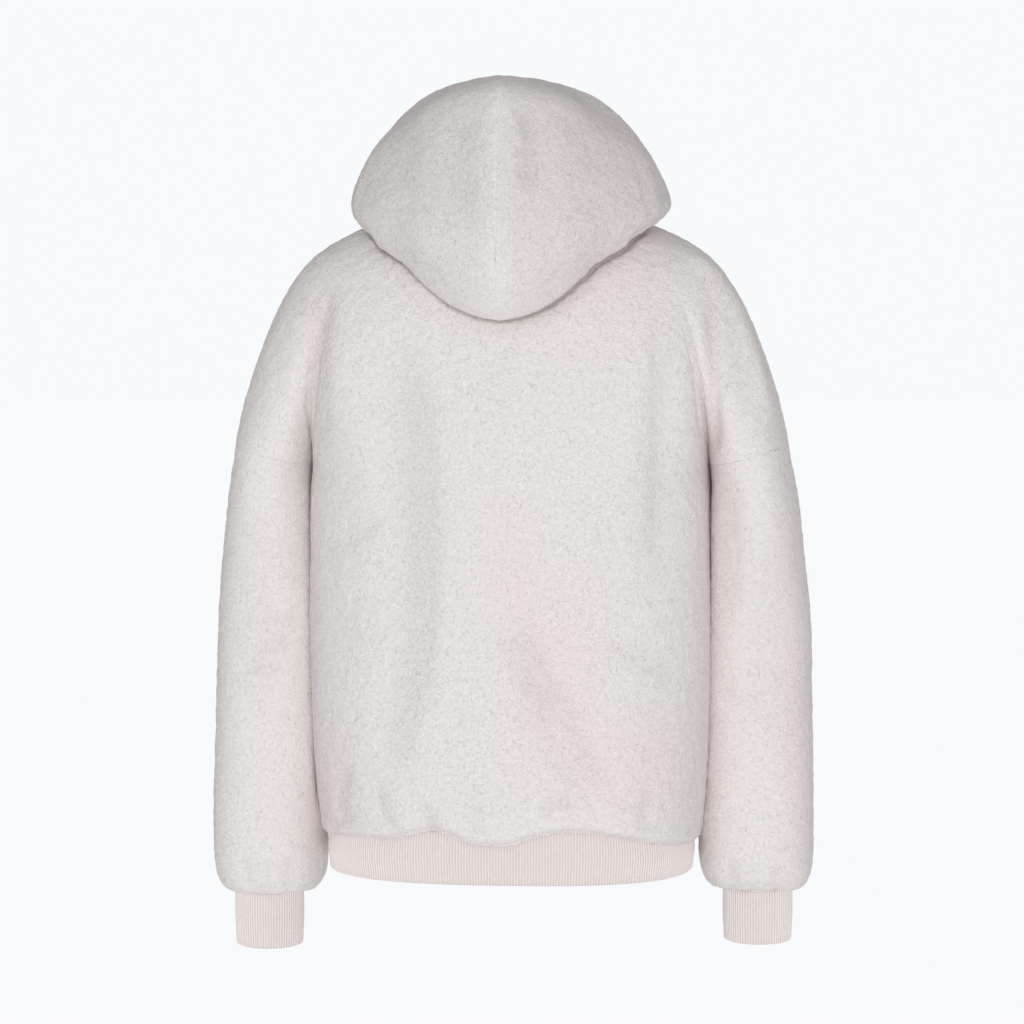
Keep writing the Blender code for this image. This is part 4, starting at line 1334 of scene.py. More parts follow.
@dataclass
class Sleeves:
    """Sleeve tubes from the dropped armhole seam to the cuffs."""

    form: BodyForm
    relief: PileRelief
    finishes: Finishes
    wall: float = 5.0
    step: int = 4
    rows_down: int = 176
    arm_steps: int = 44
    clearance: float = 3.0
    sway_top: float = -470.0
    sway_reach: float = 180.0
    underarm_ease: tuple[float, float, float] = (0.6, 0.0, -0.6)
    beside_pile: float = 1.7
    inner_roll: float = 3.0
    roll_end: float = -600.0
    roll_blend: float = 60.0
    roll_place: tuple[float, float] = (10.0, 5.0)
    beside_steps: float = 12.0
    seam_rows: float = 8.0
    crotch_steps: float = 3.0
    blend_rows: int = 8
    crease_from: tuple[float, float] = (-40.0, 60.0)
    crease_least: float = 0.5
    rib_reach: tuple[float, float] = (183.0, 129.0)
    flat: tuple[float, float] = (0.412, 0.465)
    area: float = 0.175
    lip: Lip = Lip((3.2, 2.4, 1.3, 0.8), (0.6, 0.9, 0.0, 0.0), 0.4, 5, 1.2, 15.0)
    table: tuple[SleeveRow, ...] = (
        SleeveRow(-275, -252, 200.5, 277.0, -1, 84.0),
        SleeveRow(-305, -288, 199.0, 284.0, -4, 81.0),
        SleeveRow(-350, -342, 197.5, 291.0, -9, 77.0),
        SleeveRow(-400, -396, 196.0, 296.5, -14, 73.0),
        SleeveRow(-450, -448, 195.0, 299.5, -18, 70.0),
        SleeveRow(-500, -500, 194.0, 301.0, -20, 67.0),
        SleeveRow(-545, -545, 192.5, 302.0, -22, 64.5),
        SleeveRow(-590, -590, 190.0, 302.5, -23, 62.5),
        SleeveRow(-630, -630, 188.5, 302.5, -24, 60.5),
        SleeveRow(-658, -658, 188.5, 301.5, -24, 58.5),
        SleeveRow(-674, -674, 192.0, 298.5, -24, 54.5),
        SleeveRow(-683, -683, 200.0, 291.0, -24, 45.0),
        SleeveRow(-687, -687, 211.5, 281.5, -24, 35.0),
    )
    creases: dict[Side, tuple[Crease, ...]] = field(default_factory=lambda: {
        Side.LEFT: (
            Crease(((212, -425), (232, -440), (252, -436)), 7.0, 2.6),
            Crease(((222, -452), (240, -462), (262, -455)), 6.0, 2.2),
            Crease(((208, -404), (226, -412), (244, -402)), 6.0, 1.6),
            Crease(((240, -280), (252, -380), (250, -520)), 22.0, 1.8),
            Crease(((215, -650), (222, -672), (220, -688)), 7.0, 2.2),
            Crease(((268, -648), (262, -670), (264, -688)), 7.0, 2.4),
            Crease(((243, -655), (246, -674), (244, -688)), 6.0, 1.8),
        ),
        Side.RIGHT: (
            Crease(((-214, -250), (-222, -330), (-216, -420)), 12.0, 2.2),
            Crease(((-262, -300), (-256, -420), (-262, -560)), 22.0, 1.8),
            Crease(((-206, -470), (-228, -486), (-252, -480)), 8.0, 1.8),
            Crease(((-216, -648), (-224, -670), (-222, -688)), 7.0, 2.4),
            Crease(((-270, -650), (-264, -672), (-266, -688)), 7.0, 2.2),
            Crease(((-246, -652), (-242, -674), (-246, -688)), 6.0, 1.8),
        ),
    })

    def torso_reach(self, y: np.ndarray, z: np.ndarray) -> np.ndarray:
        """Half width of the torso.

        Args:
            y: Places forward and back.
            z: Heights.

        Returns:
            Its half widths there.
        """
        first = self.form.yoke[-1]
        heights = [-first.z_side] + [-row.z for row in self.form.torso]
        half = np.interp(-z, heights, [first.groove_x] + [row.half_width for row in self.form.torso])
        rows = [first] + list(self.form.torso)
        back = np.interp(-z, heights, [row.depth_back for row in rows])
        front = np.interp(-z, heights, [row.depth_front for row in rows])
        depth = np.where(y < 0, front, back)
        under = -z > heights[-1] + self.form.hem_wave
        half = np.where(under, self.rib_reach[0], half)
        depth = np.where(under, self.rib_reach[1], depth)
        return half * oval(y / depth, self.form.fullness)

    def rings(self) -> np.ndarray:
        """Fine rings of the left sleeve, evenly spaced.

        Returns:
            Places, shaped (rows, columns, 3).
        """
        last = float(len(self.form.yoke) - 1)
        first_u, last_u = self.form.torso_columns, self.form.torso_columns + self.form.arm_columns
        v = np.array((last,))
        half = []
        for face in (Face.BACK, Face.FRONT):
            u = self.form.even_columns(v, first_u, last_u, self.arm_steps, face)
            half.append((u[0], self.form.points(v, u, face)[0]))
        u = np.concatenate((half[0][0], half[1][0][-2:0:-1]))
        top = np.concatenate((half[0][1], half[1][1][-2:0:-1]))
        top[:, 2] -= self.form.seam_gap
        around = np.minimum(np.arange(len(u)), len(u) - np.arange(len(u))).astype(float)
        crotch = bell(around, self.crotch_steps)
        top += crotch[:, None] * np.array(self.underarm_ease)
        share = self.form.arm_share(u)
        height = self.form.arm_height(u) * np.where(np.arange(len(u)) <= self.arm_steps, 1.0, -1.0)
        dense = np.linspace(0.0, len(self.table) - 1.0, 12 * len(self.table) + 1)
        row = read_rows(self.table, dense)
        z_in, z_out, x_in, x_out, y_mid, deep = (row[:, k:k + 1] for k in range(6))
        x = x_in + (x_out - x_in) * share
        y = y_mid + deep * height
        z = z_in + (z_out - z_in) * share
        x = np.maximum(x, self.torso_reach(y, z) + self.clearance)
        body = np.stack((x, y, z), axis=-1)
        shares = np.linspace(0.0, 1.0, self.blend_rows + 1)[:-1]
        tube = np.concatenate((np.array([top * (1 - t) + body[0] * t for t in shares]), body))
        lengths = arc_lengths(tube.transpose(1, 0, 2)).mean(axis=0)
        at = np.interp(np.linspace(0.0, lengths[-1], self.rows_down + 1), lengths, np.arange(len(tube)))
        low = np.minimum(at.astype(int), len(tube) - 2)
        t = (at - low)[:, None, None]
        return tube[low] * (1 - t) + tube[low + 1] * t

    def build_one(self, side: Side) -> None:
        """One sleeve.

        Args:
            side: Which one.
        """
        grid = self.rings() * np.array((side.value, 1.0, 1.0))
        lower = ease((self.sway_top - grid[..., 2]) / self.sway_reach)
        grid[..., 0] += self.form.sway[side][0] * lower
        grid[..., 2] += self.form.sway[side][1] * lower
        normals = grid_normals(grid, ring=True)
        outside = np.array((side.value, 0.0, 0.0))
        if normals[len(grid) // 2, self.arm_steps] @ outside < 0:
            normals = -normals
        normals[0, :, 2] = 0.0
        normals[-1, :, 2] = 0.0
        normals = unit(normals)
        steps = edge_steps(*grid.shape[:2], True, False, False, False)
        pressed = press(self.creases[side], grid)
        behind = ease((grid[..., 1] - self.crease_from[0]) / self.crease_from[1])
        pressed *= self.crease_least + (1.0 - self.crease_least) * behind
        height = self.relief.height(grid, steps) - pressed
        around = np.minimum(np.arange(grid.shape[1]), grid.shape[1] - np.arange(grid.shape[1]))
        beside = ease(1.0 - around / self.beside_steps)
        roll = self.inner_roll * bell(around - self.roll_place[0], self.roll_place[1])
        roll = roll * ease((grid[..., 2] - self.roll_end) / self.roll_blend)
        height += self.relief.puffed(len(grid))
        below = ease(np.arange(len(grid)) / self.seam_rows)[:, None]
        height += (beside[None, :] * self.beside_pile + roll) * below
        outer = grid + normals * height[..., None]
        outer[0, :, 2] += self.form.seam_gap / 2 - self.relief.hairline
        # Painted shade in the creases and along the seams
        painted_shade = self.relief.painted_shade(pressed, steps)
        outer, painted_shade = self.lip.hang(outer, painted_shade, grid, normals, self.relief.noise)
        inner = lined(grid, normals, self.wall, self.step)
        cells = np.ones((inner.shape[0] - 1, inner.shape[1]), bool)
        name = side.name.lower()
        wall = ClothWall(f"fleece_sleeve_{name}", outer, inner, self.step, cells, ring=True, painted_shade=painted_shade)
        piece = wall.build(self.finishes.fleece, self.finishes.ground)
        place_piece(piece, [f"sleeve_{name}"])

    def build(self) -> None:
        """Build both sleeves."""
        for side in Side:
            self.build_one(side)


@dataclass
class Hood:
    """Two hood panels, joined by the seam over the crown, hanging open on the back."""

    form: BodyForm
    relief: PileRelief
    finishes: Finishes
    wall: float = 5.0
    step: int = 4
    rows_out: int = 184
    stations: int = 164
    stand: tuple[float, float] = (0.12, 3.0)
    lift: float = 4.0
    under_rows: int = 2
    outer_rows: int = 7
    fold_steps: tuple[tuple[float, float], ...] = ((0.45, 7.0), (0.55, 18.0))
    keel_round: float = 5.0
    keel_width: float = 12.0
    keel_top: float = 118.0
    keel_share: float = 0.4
    keel_blend: float = 30.0
    # Painted shade that darkens the hood's sides away from the crown seam, and how fast it grows
    shade: float = 0.24
    shade_width: float = 16.0
    seam_pile: float = 0.4
    seam_width: float = 4.0
    outside_from: tuple[float, float] = (0.3, 0.15)
    behind_from: tuple[float, float] = (20.0, 50.0)
    edge_behind: float = 30.0
    edge_step: float = 4.0
    edge_reach: float = 3.0
    sag: tuple[float, float, float] = (4.0, 0.0, -8.0)
    sag_place: tuple[float, float] = (0.53, 0.56)
    sag_width: float = 0.14
    flat: tuple[float, float] = (0.51, 0.36)
    area: float = 0.0946
    table: tuple[HoodStation, ...] = (
        HoodStation(0.000, 0.12, 0.65, 7, -114, -52, 7, -115, -42, 7, -114, -31),
        HoodStation(0.156, 0.22, 0.70, 63, -112, -36, 59, -111, -16, 48, -105, 1),
        HoodStation(0.312, 0.40, 0.80, 102, -102, -22, 102, -91, 5, 90, -75, 30),
        HoodStation(0.406, 0.60, 0.85, 130, -83, -10, 126, -67, 20, 112, -46, 50),
        HoodStation(0.500, 0.85, 0.90, 154, -2, 12, 139, -4, 42, 122, -9, 66),
        HoodStation(0.594, 1.15, 1.00, 150, 74, 0, 134, 60, 46, 107, 26, 85),
        HoodStation(0.688, 1.34, 1.00, 139, 102, -12, 119, 83, 54, 83, 43, 103),
        HoodStation(0.781, 1.50, 1.00, 125, 121, -22, 97, 102, 68, 62, 50, 112),
        HoodStation(0.844, 1.67, 1.00, 103, 139, -30, 75, 118, 82, 42, 55, 117),
        HoodStation(0.906, 2.12, 1.00, 68, 162, -36, 46, 134, 92, 25, 58, 120),
        HoodStation(1.000, 3.50, 1.00, 0, 192, -40, 0, 153, 102, 0, 60, 121),
    )
    creases: tuple[Crease, ...] = (
        Crease(((-24, 96), (-33, 70), (-36, 40), (-32, 0)), 10.0, 3.6, 0.2),
        Crease(((26, 96), (34, 60), (34, 20), (28, -30)), 16.0, 2.0),
        Crease(((-60, 80), (-84, 50), (-98, 10)), 16.0, 1.6),
        Crease(((70, 76), (92, 40), (104, 0)), 17.0, 1.6),
        Crease(((-120, 30), (-92, -10), (-50, -50)), 14.0, -1.4),
        Crease(((124, 26), (96, -14), (54, -54)), 14.0, -1.4),
    )

    def lifted(self, at: np.ndarray, u: float, face: Face, lift: np.ndarray) -> np.ndarray:
        """Places above the yoke, square to it.

        Args:
            at: Yoke row numbers.
            u: The column.
            face: Back or front.
            lift: How far above, for each row number.

        Returns:
            The places, shaped (rows, 3).
        """
        last = self.form.torso_columns + self.form.arm_columns
        one = np.array(((u,),))
        low, high = np.array(((max(u - 1, 0.0),),)), np.array(((min(u + 1, last),),))
        point = self.form.yoke_points(at, one, face)[:, 0]
        ahead = (self.form.yoke_points(at + 0.2, one, face)
                 - self.form.yoke_points(np.maximum(at - 0.2, 0.0), one, face))[:, 0]
        beside = (self.form.yoke_points(at, high, face) - self.form.yoke_points(at, low, face))[:, 0]
        up = np.cross(ahead, beside)
        up[:, 1] *= ease(np.array((last - u,)) / 0.5)
        up[:, 0] *= ease(np.array((u,)) / 0.5)
        return point + unit(up) * (np.sign(up[:, 2]) * lift)[:, None]

    def run(self, s: float) -> np.ndarray:
        """One section of the hood, from the neck seam to the rim.

        Args:
            s: How far round, 0 at the centre front and 32 at the centre back.

        Returns:
            Its places.
        """
        whole = 2.0 * (self.form.torso_columns + self.form.arm_columns)
        face = Face.FRONT if s <= whole / 2 else Face.BACK
        u = s if face is Face.FRONT else whole - s
        shares = [row.share for row in self.table]
        at = np.interp(s / whole, shares, range(len(shares)))
        row = HoodStation(*read_rows(self.table, np.array((at,)))[0])
        seam = self.form.yoke_points(np.array((0.0,)), np.array(((u,),)), face)[0]
        seam = seam + (0.0, 0.0, self.form.seam_gap)
        places = [min(1.0, row.under) * self.stand[0]]
        lifts = [self.stand[1]]
        for k in range(1, self.under_rows + 1):
            places.append(row.under * k / self.under_rows)
            lifts.append(self.stand[1] + (self.lift - self.stand[1]) * k / self.under_rows)
        for ahead, lift in self.fold_steps:
            places.append(row.under + ahead * row.fold)
            lifts.append(self.lift + lift * row.fold)
        near = self.lifted(np.array(places), u, face, np.array(lifts))
        corners = np.array((near[-1], (row.belly_x, row.belly_y, row.belly_z),
                            (row.crown_x, row.crown_y, row.crown_z), (row.rim_x, row.rim_y, row.rim_z)))
        fine = read_rows(corners, np.linspace(0.0, 3.0, 60))
        lengths = arc_lengths(fine)
        at_even = np.linspace(0.0, lengths[-1], self.outer_rows + 1)[1:]
        outside = np.stack([np.interp(at_even, lengths, fine[:, k]) for k in range(3)], axis=1)
        return np.concatenate((seam, near, outside))

    def grid(self) -> np.ndarray:
        """Fine grid of the left panel.

        Returns:
            Places, shaped (rows, stations, 3).
        """
        whole = 2 * (self.form.torso_columns + self.form.arm_columns)
        dense_s = np.linspace(0.0, whole, 8 * whole + 1)
        coarse = np.array([self.run(s) for s in dense_s])
        lengths = arc_lengths(coarse.transpose(1, 0, 2))[2:].mean(axis=0)
        s = np.interp(np.linspace(0.0, lengths[-1], self.stations + 1), lengths, np.arange(len(dense_s)))
        low = np.minimum(s.astype(int), len(dense_s) - 2)
        t = (s - low)[:, None, None]
        runs = coarse[low] * (1 - t) + coarse[low + 1] * t
        columns = []
        at = np.linspace(0.0, runs.shape[1] - 1.0, 12 * runs.shape[1])
        for run in runs:
            fine = read_rows(run, at)
            columns.append(read_rows(run, even_values(at, fine, self.rows_out)))
        grid = np.array(columns).transpose(1, 0, 2)
        grid[:, 0, 0] = self.form.front_edge
        grid[:, -1, 0] = self.form.seam_gap / 2
        return grid

    def lower_edge(self) -> np.ndarray:
        """Where the hood's lower edge lies on the back.

        Returns:
            Half widths and heights, shaped (places, 2).
        """
        grid = self.grid()
        behind = grid[grid[..., 1] > self.edge_behind]
        places = np.arange(0.0, behind[:, 0].max() - self.edge_step, self.edge_step)
        return np.array([(x, behind[np.abs(behind[:, 0] - x) < self.edge_reach, 2].min()) for x in places])

    def build(self) -> None:
        """Build both panels."""
        base = self.grid()
        for side in Side:
            self.build_one(base * np.array((side.value, 1.0, 1.0)), side)

    def build_one(self, grid: np.ndarray, side: Side) -> None:
        """One panel.

        Args:
            grid: Its wall's places.
            side: Which one.
        """
        if side is Side.RIGHT:
            down = bell(np.linspace(0.0, 1.0, grid.shape[0]) - self.sag_place[0], self.sag_width)
            along = bell(np.linspace(0.0, 1.0, grid.shape[1]) - self.sag_place[1], self.sag_width)
            grid = grid + (down[:, None] * along)[..., None] * np.array(self.sag) * (side.value, 1.0, 1.0)
        normals = grid_normals(grid)
        if normals[grid.shape[0] // 2, -1, 1] < 0:
            normals = -normals
        normals[:, 0, 0] = 0.0
        normals[:, -1, 0] = 0.0
        normals[0, :, 2] = 0.0
        normals = unit(normals)
        rows, columns = grid.shape[:2]
        steps = edge_steps(rows, columns, True, False, True, False)
        to_seam = edge_steps(rows, columns, False, False, False, True) * self.relief.spacing
        outside = ease((np.arange(rows)[:, None] / rows - self.outside_from[0]) / self.outside_from[1])
        outside = outside * ease((grid[..., 1] - self.behind_from[0]) / self.behind_from[1])
        pressed = press(self.creases, grid)
        pressed *= outside
        pile = self.seam_pile + (1.0 - self.seam_pile) * ease(to_seam / self.seam_width)
        height = self.relief.height(grid, steps) * pile - pressed
        low = ease((self.keel_top - grid[..., 2]) / self.keel_blend)
        low = self.keel_share + (1.0 - self.keel_share) * low
        height -= self.keel_round * low * outside * np.exp(-to_seam / self.keel_width)
        outer = grid + normals * height[..., None]
        outer[:, -1, 0] = side.value * self.relief.hairline
        inner = (grid - normals * self.wall)[::self.step, ::self.step]
        # Painted shade in the creases, and painted shade growing away from the crown seam so the hood's sides
        # read darker than its ridge
        painted_shade = self.relief.painted_crease_shade(pressed)
        painted_shade = painted_shade + self.shade * (1.0 - np.exp(-to_seam / self.shade_width))
        cells = np.ones((inner.shape[0] - 1, inner.shape[1] - 1), bool)
        name = side.name.lower()
        wall = ClothWall(f"fleece_hood_{name}", outer, inner, self.step, cells, painted_shade=painted_shade)
        piece = wall.build(self.finishes.fleece, self.finishes.ground)
        place_piece(piece, [f"hood_{name}"])


@dataclass
class RibBands:
    """Rib hem, open at the zip, and the two rib cuffs."""

    form: BodyForm
    finishes: Finishes
    pitch: float = 2.8
    wall: float = 2.6
    profile: tuple[float, ...] = (0.45, 0.28, -0.22, -0.5, -0.22, 0.28)
    rows_down: int = 12
    ribs_per_cell: int = 2
    hem_rows: tuple[tuple[float, float, float], ...] = (
        (181.5, 132.5, 127.5), (183.0, 134.0, 129.0), (180.5, 131.0, 126.5))
    hem_seam: float = -616.3
    hem_bottom: float = -661.0
    hem_flat: tuple[float, float] = (1.02, 0.045)
    cuff_centre: tuple[float, float] = (246.5, -24.0)
    cuff_radius: tuple[float, ...] = (34.4, 34.6, 33.2)
    cuff_seam: float = -687.3
    cuff_flat: tuple[float, float] = (0.216, 0.051)
    fine: int = 720
    sharp: float = 75.0

    def hem_outline(self, half_width: float, depth_back: float, depth_front: float) -> np.ndarray:
        """Plan of the hem from the left of the zip round the back to its right.

        Args:
            half_width: Half its width.
            depth_back: How far it reaches back.
            depth_front: How far it reaches forward.

        Returns:
            The outline's places (x, y).
        """
        turn = 2 * math.pi * np.arange(self.fine + 1) / self.fine
        power = 2 / self.form.fullness
        x = half_width * np.sign(np.sin(turn)) * np.abs(np.sin(turn)) ** power
        depth = np.where(np.cos(turn) > 0, depth_front, depth_back)
        y = -depth * np.sign(np.cos(turn)) * np.abs(np.cos(turn)) ** power
        left = np.stack((x, y), axis=1)[:self.fine // 2 + 1]
        left = left[left[:, 0] > self.form.front_edge]
        left = np.concatenate((((self.form.front_edge, -depth_front),), left, ((0.0, depth_back),)))
        return np.concatenate((left, left[-2::-1] * (-1.0, 1.0)))

    def hem_top(self, places: np.ndarray) -> np.ndarray:
        """Height of the hem's seam at places (x, y)."""
        x = places[:, 0]
        lift = np.where(places[:, 1] > 0, self.form.hem_lift(x, Face.BACK), self.form.hem_lift(x, Face.FRONT))
        return self.hem_seam - self.form.drop(x) + lift

    def band(self, name: str, node: str, outlines: Sequence[np.ndarray],
             top: Callable[[np.ndarray], np.ndarray], bottom: float, ring: bool,
             flat: tuple[float, float]) -> None:
        """One band of ribs.

        Args:
            name: The piece's name.
            node: The solid it replaces.
            outlines: Its plan at the seam, halfway and at the bottom.
            top: Height of its seam at places (x, y).
            bottom: Height of its folded edge.
            ring: Whether it closes on itself.
            flat: The cut's width and length in metres.
        """
        length = arc_lengths(np.column_stack((outlines[0], np.zeros(len(outlines[0])))))[-1]
        ribs = int(round(length / self.pitch / 4)) * 4
        per_rib = len(self.profile)
        many = ribs * per_rib
        relief = np.resize(np.array(self.profile), many + 1)
        tables = []
        for outline in outlines:
            lengths = arc_lengths(np.column_stack((outline, np.zeros(len(outline)))))
            at = np.linspace(0.0, lengths[-1], many + 1)
            tables.append(np.stack([np.interp(at, lengths, outline[:, k]) for k in range(2)], axis=1))
        shares = np.linspace(0.0, 1.0, self.rows_down + 1)
        plan = read_rows(np.array(tables), shares * (len(outlines) - 1))
        run = np.gradient(plan, axis=1)
        if ring:
            run[:, 0] = run[:, -1] = plan[:, 1] - plan[:, -2]
        out = unit(np.stack((run[..., 1], -run[..., 0]), axis=-1))
        high = top(plan[0])
        # The folded edge turns under in the last rows
        turn_in = np.concatenate((np.zeros(self.rows_down - 3), (0.0, 0.15, 0.6, 1.5)))
        drop = np.concatenate((shares[:-3], (1 - 1.4 / 45, 1 - 0.5 / 45, 1.0)))
        soft = 1.0 - turn_in / 1.5 * 0.6
        skin = plan + out * (relief[None, :, None] * soft[:, None, None] - turn_in[:, None, None])
        z = high[None, :] + (bottom - high)[None, :] * drop[:, None]
        outer = np.concatenate((skin, z[..., None]), axis=-1)
        cell = self.ribs_per_cell * per_rib
        lining = (plan - out * self.wall)[:, ::cell]
        inner = np.concatenate((lining, z[:, ::cell, None]), axis=-1)
        inner = inner[::self.rows_down]
        inner[-1, :, 2] += 0.6
        across = np.arange(many + 1) / per_rib
        down = (high[None, :] - z)
        if ring:
            outer, inner = outer[:, :-1], inner[:, :-1]
        self.make(name, node, outer, inner, cell, ring, across, down, flat)

    def make(self, name: str, node: str, outer: np.ndarray, inner: np.ndarray, cell: int, ring: bool,
             across: np.ndarray, down: np.ndarray, flat: tuple[float, float]) -> None:
        """Mesh of a band, with its knit map.

        Args:
            name: The piece's name.
            node: The solid it replaces.
            outer: Outside places, shaped (rows, columns, 3).
            inner: Inside places, two rows of fewer columns.
            cell: Outside columns for each inside one.
            ring: Whether it closes on itself.
            across: Rib number at each outside column.
            down: Millimetres down at each outside place.
            flat: Not used.
        """
        rows, many = outer.shape[:2]
        few = inner.shape[1]
        base = rows * many
        faces, maps = [], []
        last = many if ring else many - 1
        for r in range(rows - 1):
            for c in range(last):
                d = (c + 1) % many
                faces.append((r * many + c, (r + 1) * many + c, (r + 1) * many + d, r * many + d))
                maps.append(((across[c], down[r, c]), (across[c], down[r + 1, c]),
                             (across[c + 1], down[r + 1, c]), (across[c + 1], down[r, c])))
        last_cell = few if ring else few - 1
        for c in range(last_cell):
            d = (c + 1) % few
            faces.append((base + c, base + d, base + few + d, base + few + c))
            maps.append(((c, 0.0), (c + 1, 0.0), (c + 1, 50.0), (c, 50.0)))
            fine = [(c * cell + k) % many for k in range(cell + 1)]
            faces.append(tuple(fine) + (base + d, base + c))
            folded = tuple((rows - 1) * many + k for k in reversed(fine))
            faces.append(folded + (base + few + c, base + few + d))
            maps.extend([((0.0, 0.0),) * (cell + 3)] * 2)
        if not ring:
            for c, inside, order in ((0, 0, 1), (many - 1, few - 1, -1)):
                edge = [r * many + c for r in range(rows)]
                face = [base + inside] + edge + [base + few + inside]
                faces.append(tuple(face[::-order]))
                maps.append(((0.0, 0.0),) * len(face))
        mesh = bpy.data.meshes.new(name)
        points = np.concatenate((outer.reshape(-1, 3), inner.reshape(-1, 3))) * MM
        mesh.from_pydata(points.tolist(), [], faces)
        layer = mesh.uv_layers.new(name="knit")
        layer.data.foreach_set("uv", np.concatenate([np.array(m, float).reshape(-1) for m in maps]))
        mesh.materials.append(self.finishes.rib)
        piece = finished(mesh, self.sharp)
        place_piece(piece, [node])

    def build(self) -> None:
        """Build the hem and both cuffs."""
        self.band("rib_hem", "hem_rib", [self.hem_outline(*row) for row in self.hem_rows],
                  self.hem_top, self.hem_bottom, False, self.hem_flat)
        turn = 2 * math.pi * np.arange(241) / 240
        for side in Side:
            across, seam = self.form.sway[side][0], self.cuff_seam + self.form.sway[side][1]
            outlines = [np.stack((side.value * self.cuff_centre[0] + across + radius * np.cos(turn),
                                  self.cuff_centre[1] + radius * np.sin(turn)), axis=1)
                        for radius in self.cuff_radius]
            name = side.name.lower()
            self.band(f"rib_cuff_{name}", f"cuff_{name}", outlines,
                      lambda places: np.full(len(places), seam), self.form.cuff_bottom[side],
                      True, self.cuff_flat)


@dataclass
class Zip:
    """Tapes, moulded teeth, retainer box, slider and pull tab."""

    form: BodyForm
    finishes: Finishes
    wall: float = 6.0
    setback: float = 0.6
    rib_wall: float = 3.0
    rib_relief: float = 0.3
    rib_depths: tuple[float, float] = (126.5, 129.0)
    hem_bottom: float = -661.0
    box_length: float = 10.0
    slider_to_neck: float = 9.0
    slider_length: float = 12.0
    tooth_pitch: float = 2.9
    tooth_long: float = 1.3
    tooth_wide: float = 4.0
    tooth_thick: float = 2.5
    tooth_centre: float = -0.45
    tooth_bevel: float = 0.28
    tooth_overlap: float = 1.1
    waist_place: tuple[float, float] = (0.9, 0.7)
    waist_share: float = 0.18
    edge_softness: float = 0.22
    sharp: float = 50.0

    def path(self) -> np.ndarray:
        """Places (y, z) up the centre front, just behind the cloth, as the solids have it.

        Returns:
            The places, from the hem to the neck.
        """
        rows = len(self.form.yoke) + len(self.form.torso)
        grid = self.form.points(np.arange(rows, dtype=float), np.array(((0.0, 1.0),)), Face.FRONT)
        grid[:, 1:, 1] += self.form.fold_depth(grid[:, 1:, 0], grid[:, 1:, 2], Face.FRONT)
        grid[:, 0, 0] = self.form.front_edge
        normals = np.zeros((rows, 3))
        for r in range(rows - 1):
            across = np.cross(grid[r + 1, 1] - grid[r, 0], grid[r + 1, 0] - grid[r, 1])
            normals[r] -= across
            normals[r + 1] -= across
        normals[:, 0] = 0.0
        normals[0, 2] = 0.0
        normals[-1, 2] = 0.0
        normals = unit(normals)
        edge = grid[:, 0] - normals * (self.wall + self.setback)
        seam = self.form.torso[-1].z
        inset = self.rib_wall + self.rib_relief + self.setback
        path = [(-self.rib_depths[0] + inset, self.hem_bottom),
                (-self.rib_depths[1] + inset, seam + (self.hem_bottom - seam) * 0.5)]
        path += [(y, z) for _, y, z in edge[::-1]]
        return np.array(path)

    def tooth(self) -> tuple[np.ndarray, list[tuple[int, ...]]]:
        """Model one tooth of the left tape.

        Returns:
            Its places in millimetres (across, outwards, up) and its faces.
        """
        bpy.ops.object.select_all(action="DESELECT")
        bpy.ops.mesh.primitive_cube_add(size=1.0, location=(0.0, 0.0, 0.0))
        made = bpy.context.active_object
        bpy.ops.object.mode_set(mode="EDIT")
        bpy.ops.mesh.select_all(action="SELECT")
        bpy.ops.transform.resize(value=(self.tooth_wide, self.tooth_thick, self.tooth_long))
        bpy.ops.transform.translate(value=(self.tooth_wide / 2 - self.tooth_overlap, 0.0, 0.0))
        bpy.ops.mesh.bevel(offset=self.tooth_bevel, segments=1)
        bpy.ops.object.mode_set(mode="OBJECT")
        points = np.array([vert.co[:] for vert in made.data.vertices])
        faces = [tuple(face.vertices) for face in made.data.polygons]
        bpy.data.objects.remove(made, do_unlink=True)
        # A neck where the tooth grips the tape
        waist = bell(points[:, 0] - self.waist_place[0], self.waist_place[1])
        points[:, 2] *= 1.0 - self.waist_share * waist
        return points, faces

    def build_teeth(self) -> None:
        """Both rows of teeth, closed into each other."""
        path = self.path()
        lengths = arc_lengths(np.column_stack((path, np.zeros(len(path)))))
        start = self.box_length + self.form.seam_gap + self.tooth_long
        end = lengths[-1] - self.slider_to_neck - self.slider_length - self.form.seam_gap - self.tooth_long
        count = int((end - start) / (self.tooth_pitch / 2))
        tooth, tooth_faces = self.tooth()
        run = np.gradient(path, axis=0)
        points, faces = [], []
        for k in range(count + 1):
            at = start + k * self.tooth_pitch / 2
            y, z = (float(np.interp(at, lengths, path[:, axis])) for axis in range(2))
            up = unit(np.array([np.interp(at, lengths, run[:, axis]) for axis in range(2)]))
            out = np.array((-up[1], up[0]))
            side = 1.0 if k % 2 == 0 else -1.0
            base = len(points) * len(tooth)
            placed = np.zeros_like(tooth)
            placed[:, 0] = side * tooth[:, 0]
            lift = tooth[:, 1] + self.tooth_centre
            placed[:, 1] = y + out[0] * lift + up[0] * tooth[:, 2]
            placed[:, 2] = z + out[1] * lift + up[1] * tooth[:, 2]
            points.append(placed)
            order = 1 if side > 0 else -1
            faces.extend(tuple(base + corner for corner in face[::order]) for face in tooth_faces)
        mesh = bpy.data.meshes.new("zip_teeth")
        mesh.from_pydata((np.concatenate(points) * MM).tolist(), [], faces)
        mesh.materials.append(self.finishes.resin)
        place_piece(finished(mesh, self.sharp), ["zip_chain"])

    def dress_solid(self, node: str, finish: bpy.types.Material, soft: bool) -> None:
        """Give a solid that stays its finish and softened edges.

        Args:
            node: The solid.
            finish: Its material.
            soft: Whether its edges are rounded.
        """
        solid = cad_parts[node]
        for slot in solid.material_slots:
            slot.link = "OBJECT"
            slot.material = finish
        if soft:
            bevel = solid.modifiers.new("soft_edges", "BEVEL")
            bevel.width = self.edge_softness * MM
            bevel.segments = 2
            bevel.limit_method = "ANGLE"
            bevel.angle_limit = math.radians(self.sharp)
        LOG.info("%s dressed", node)

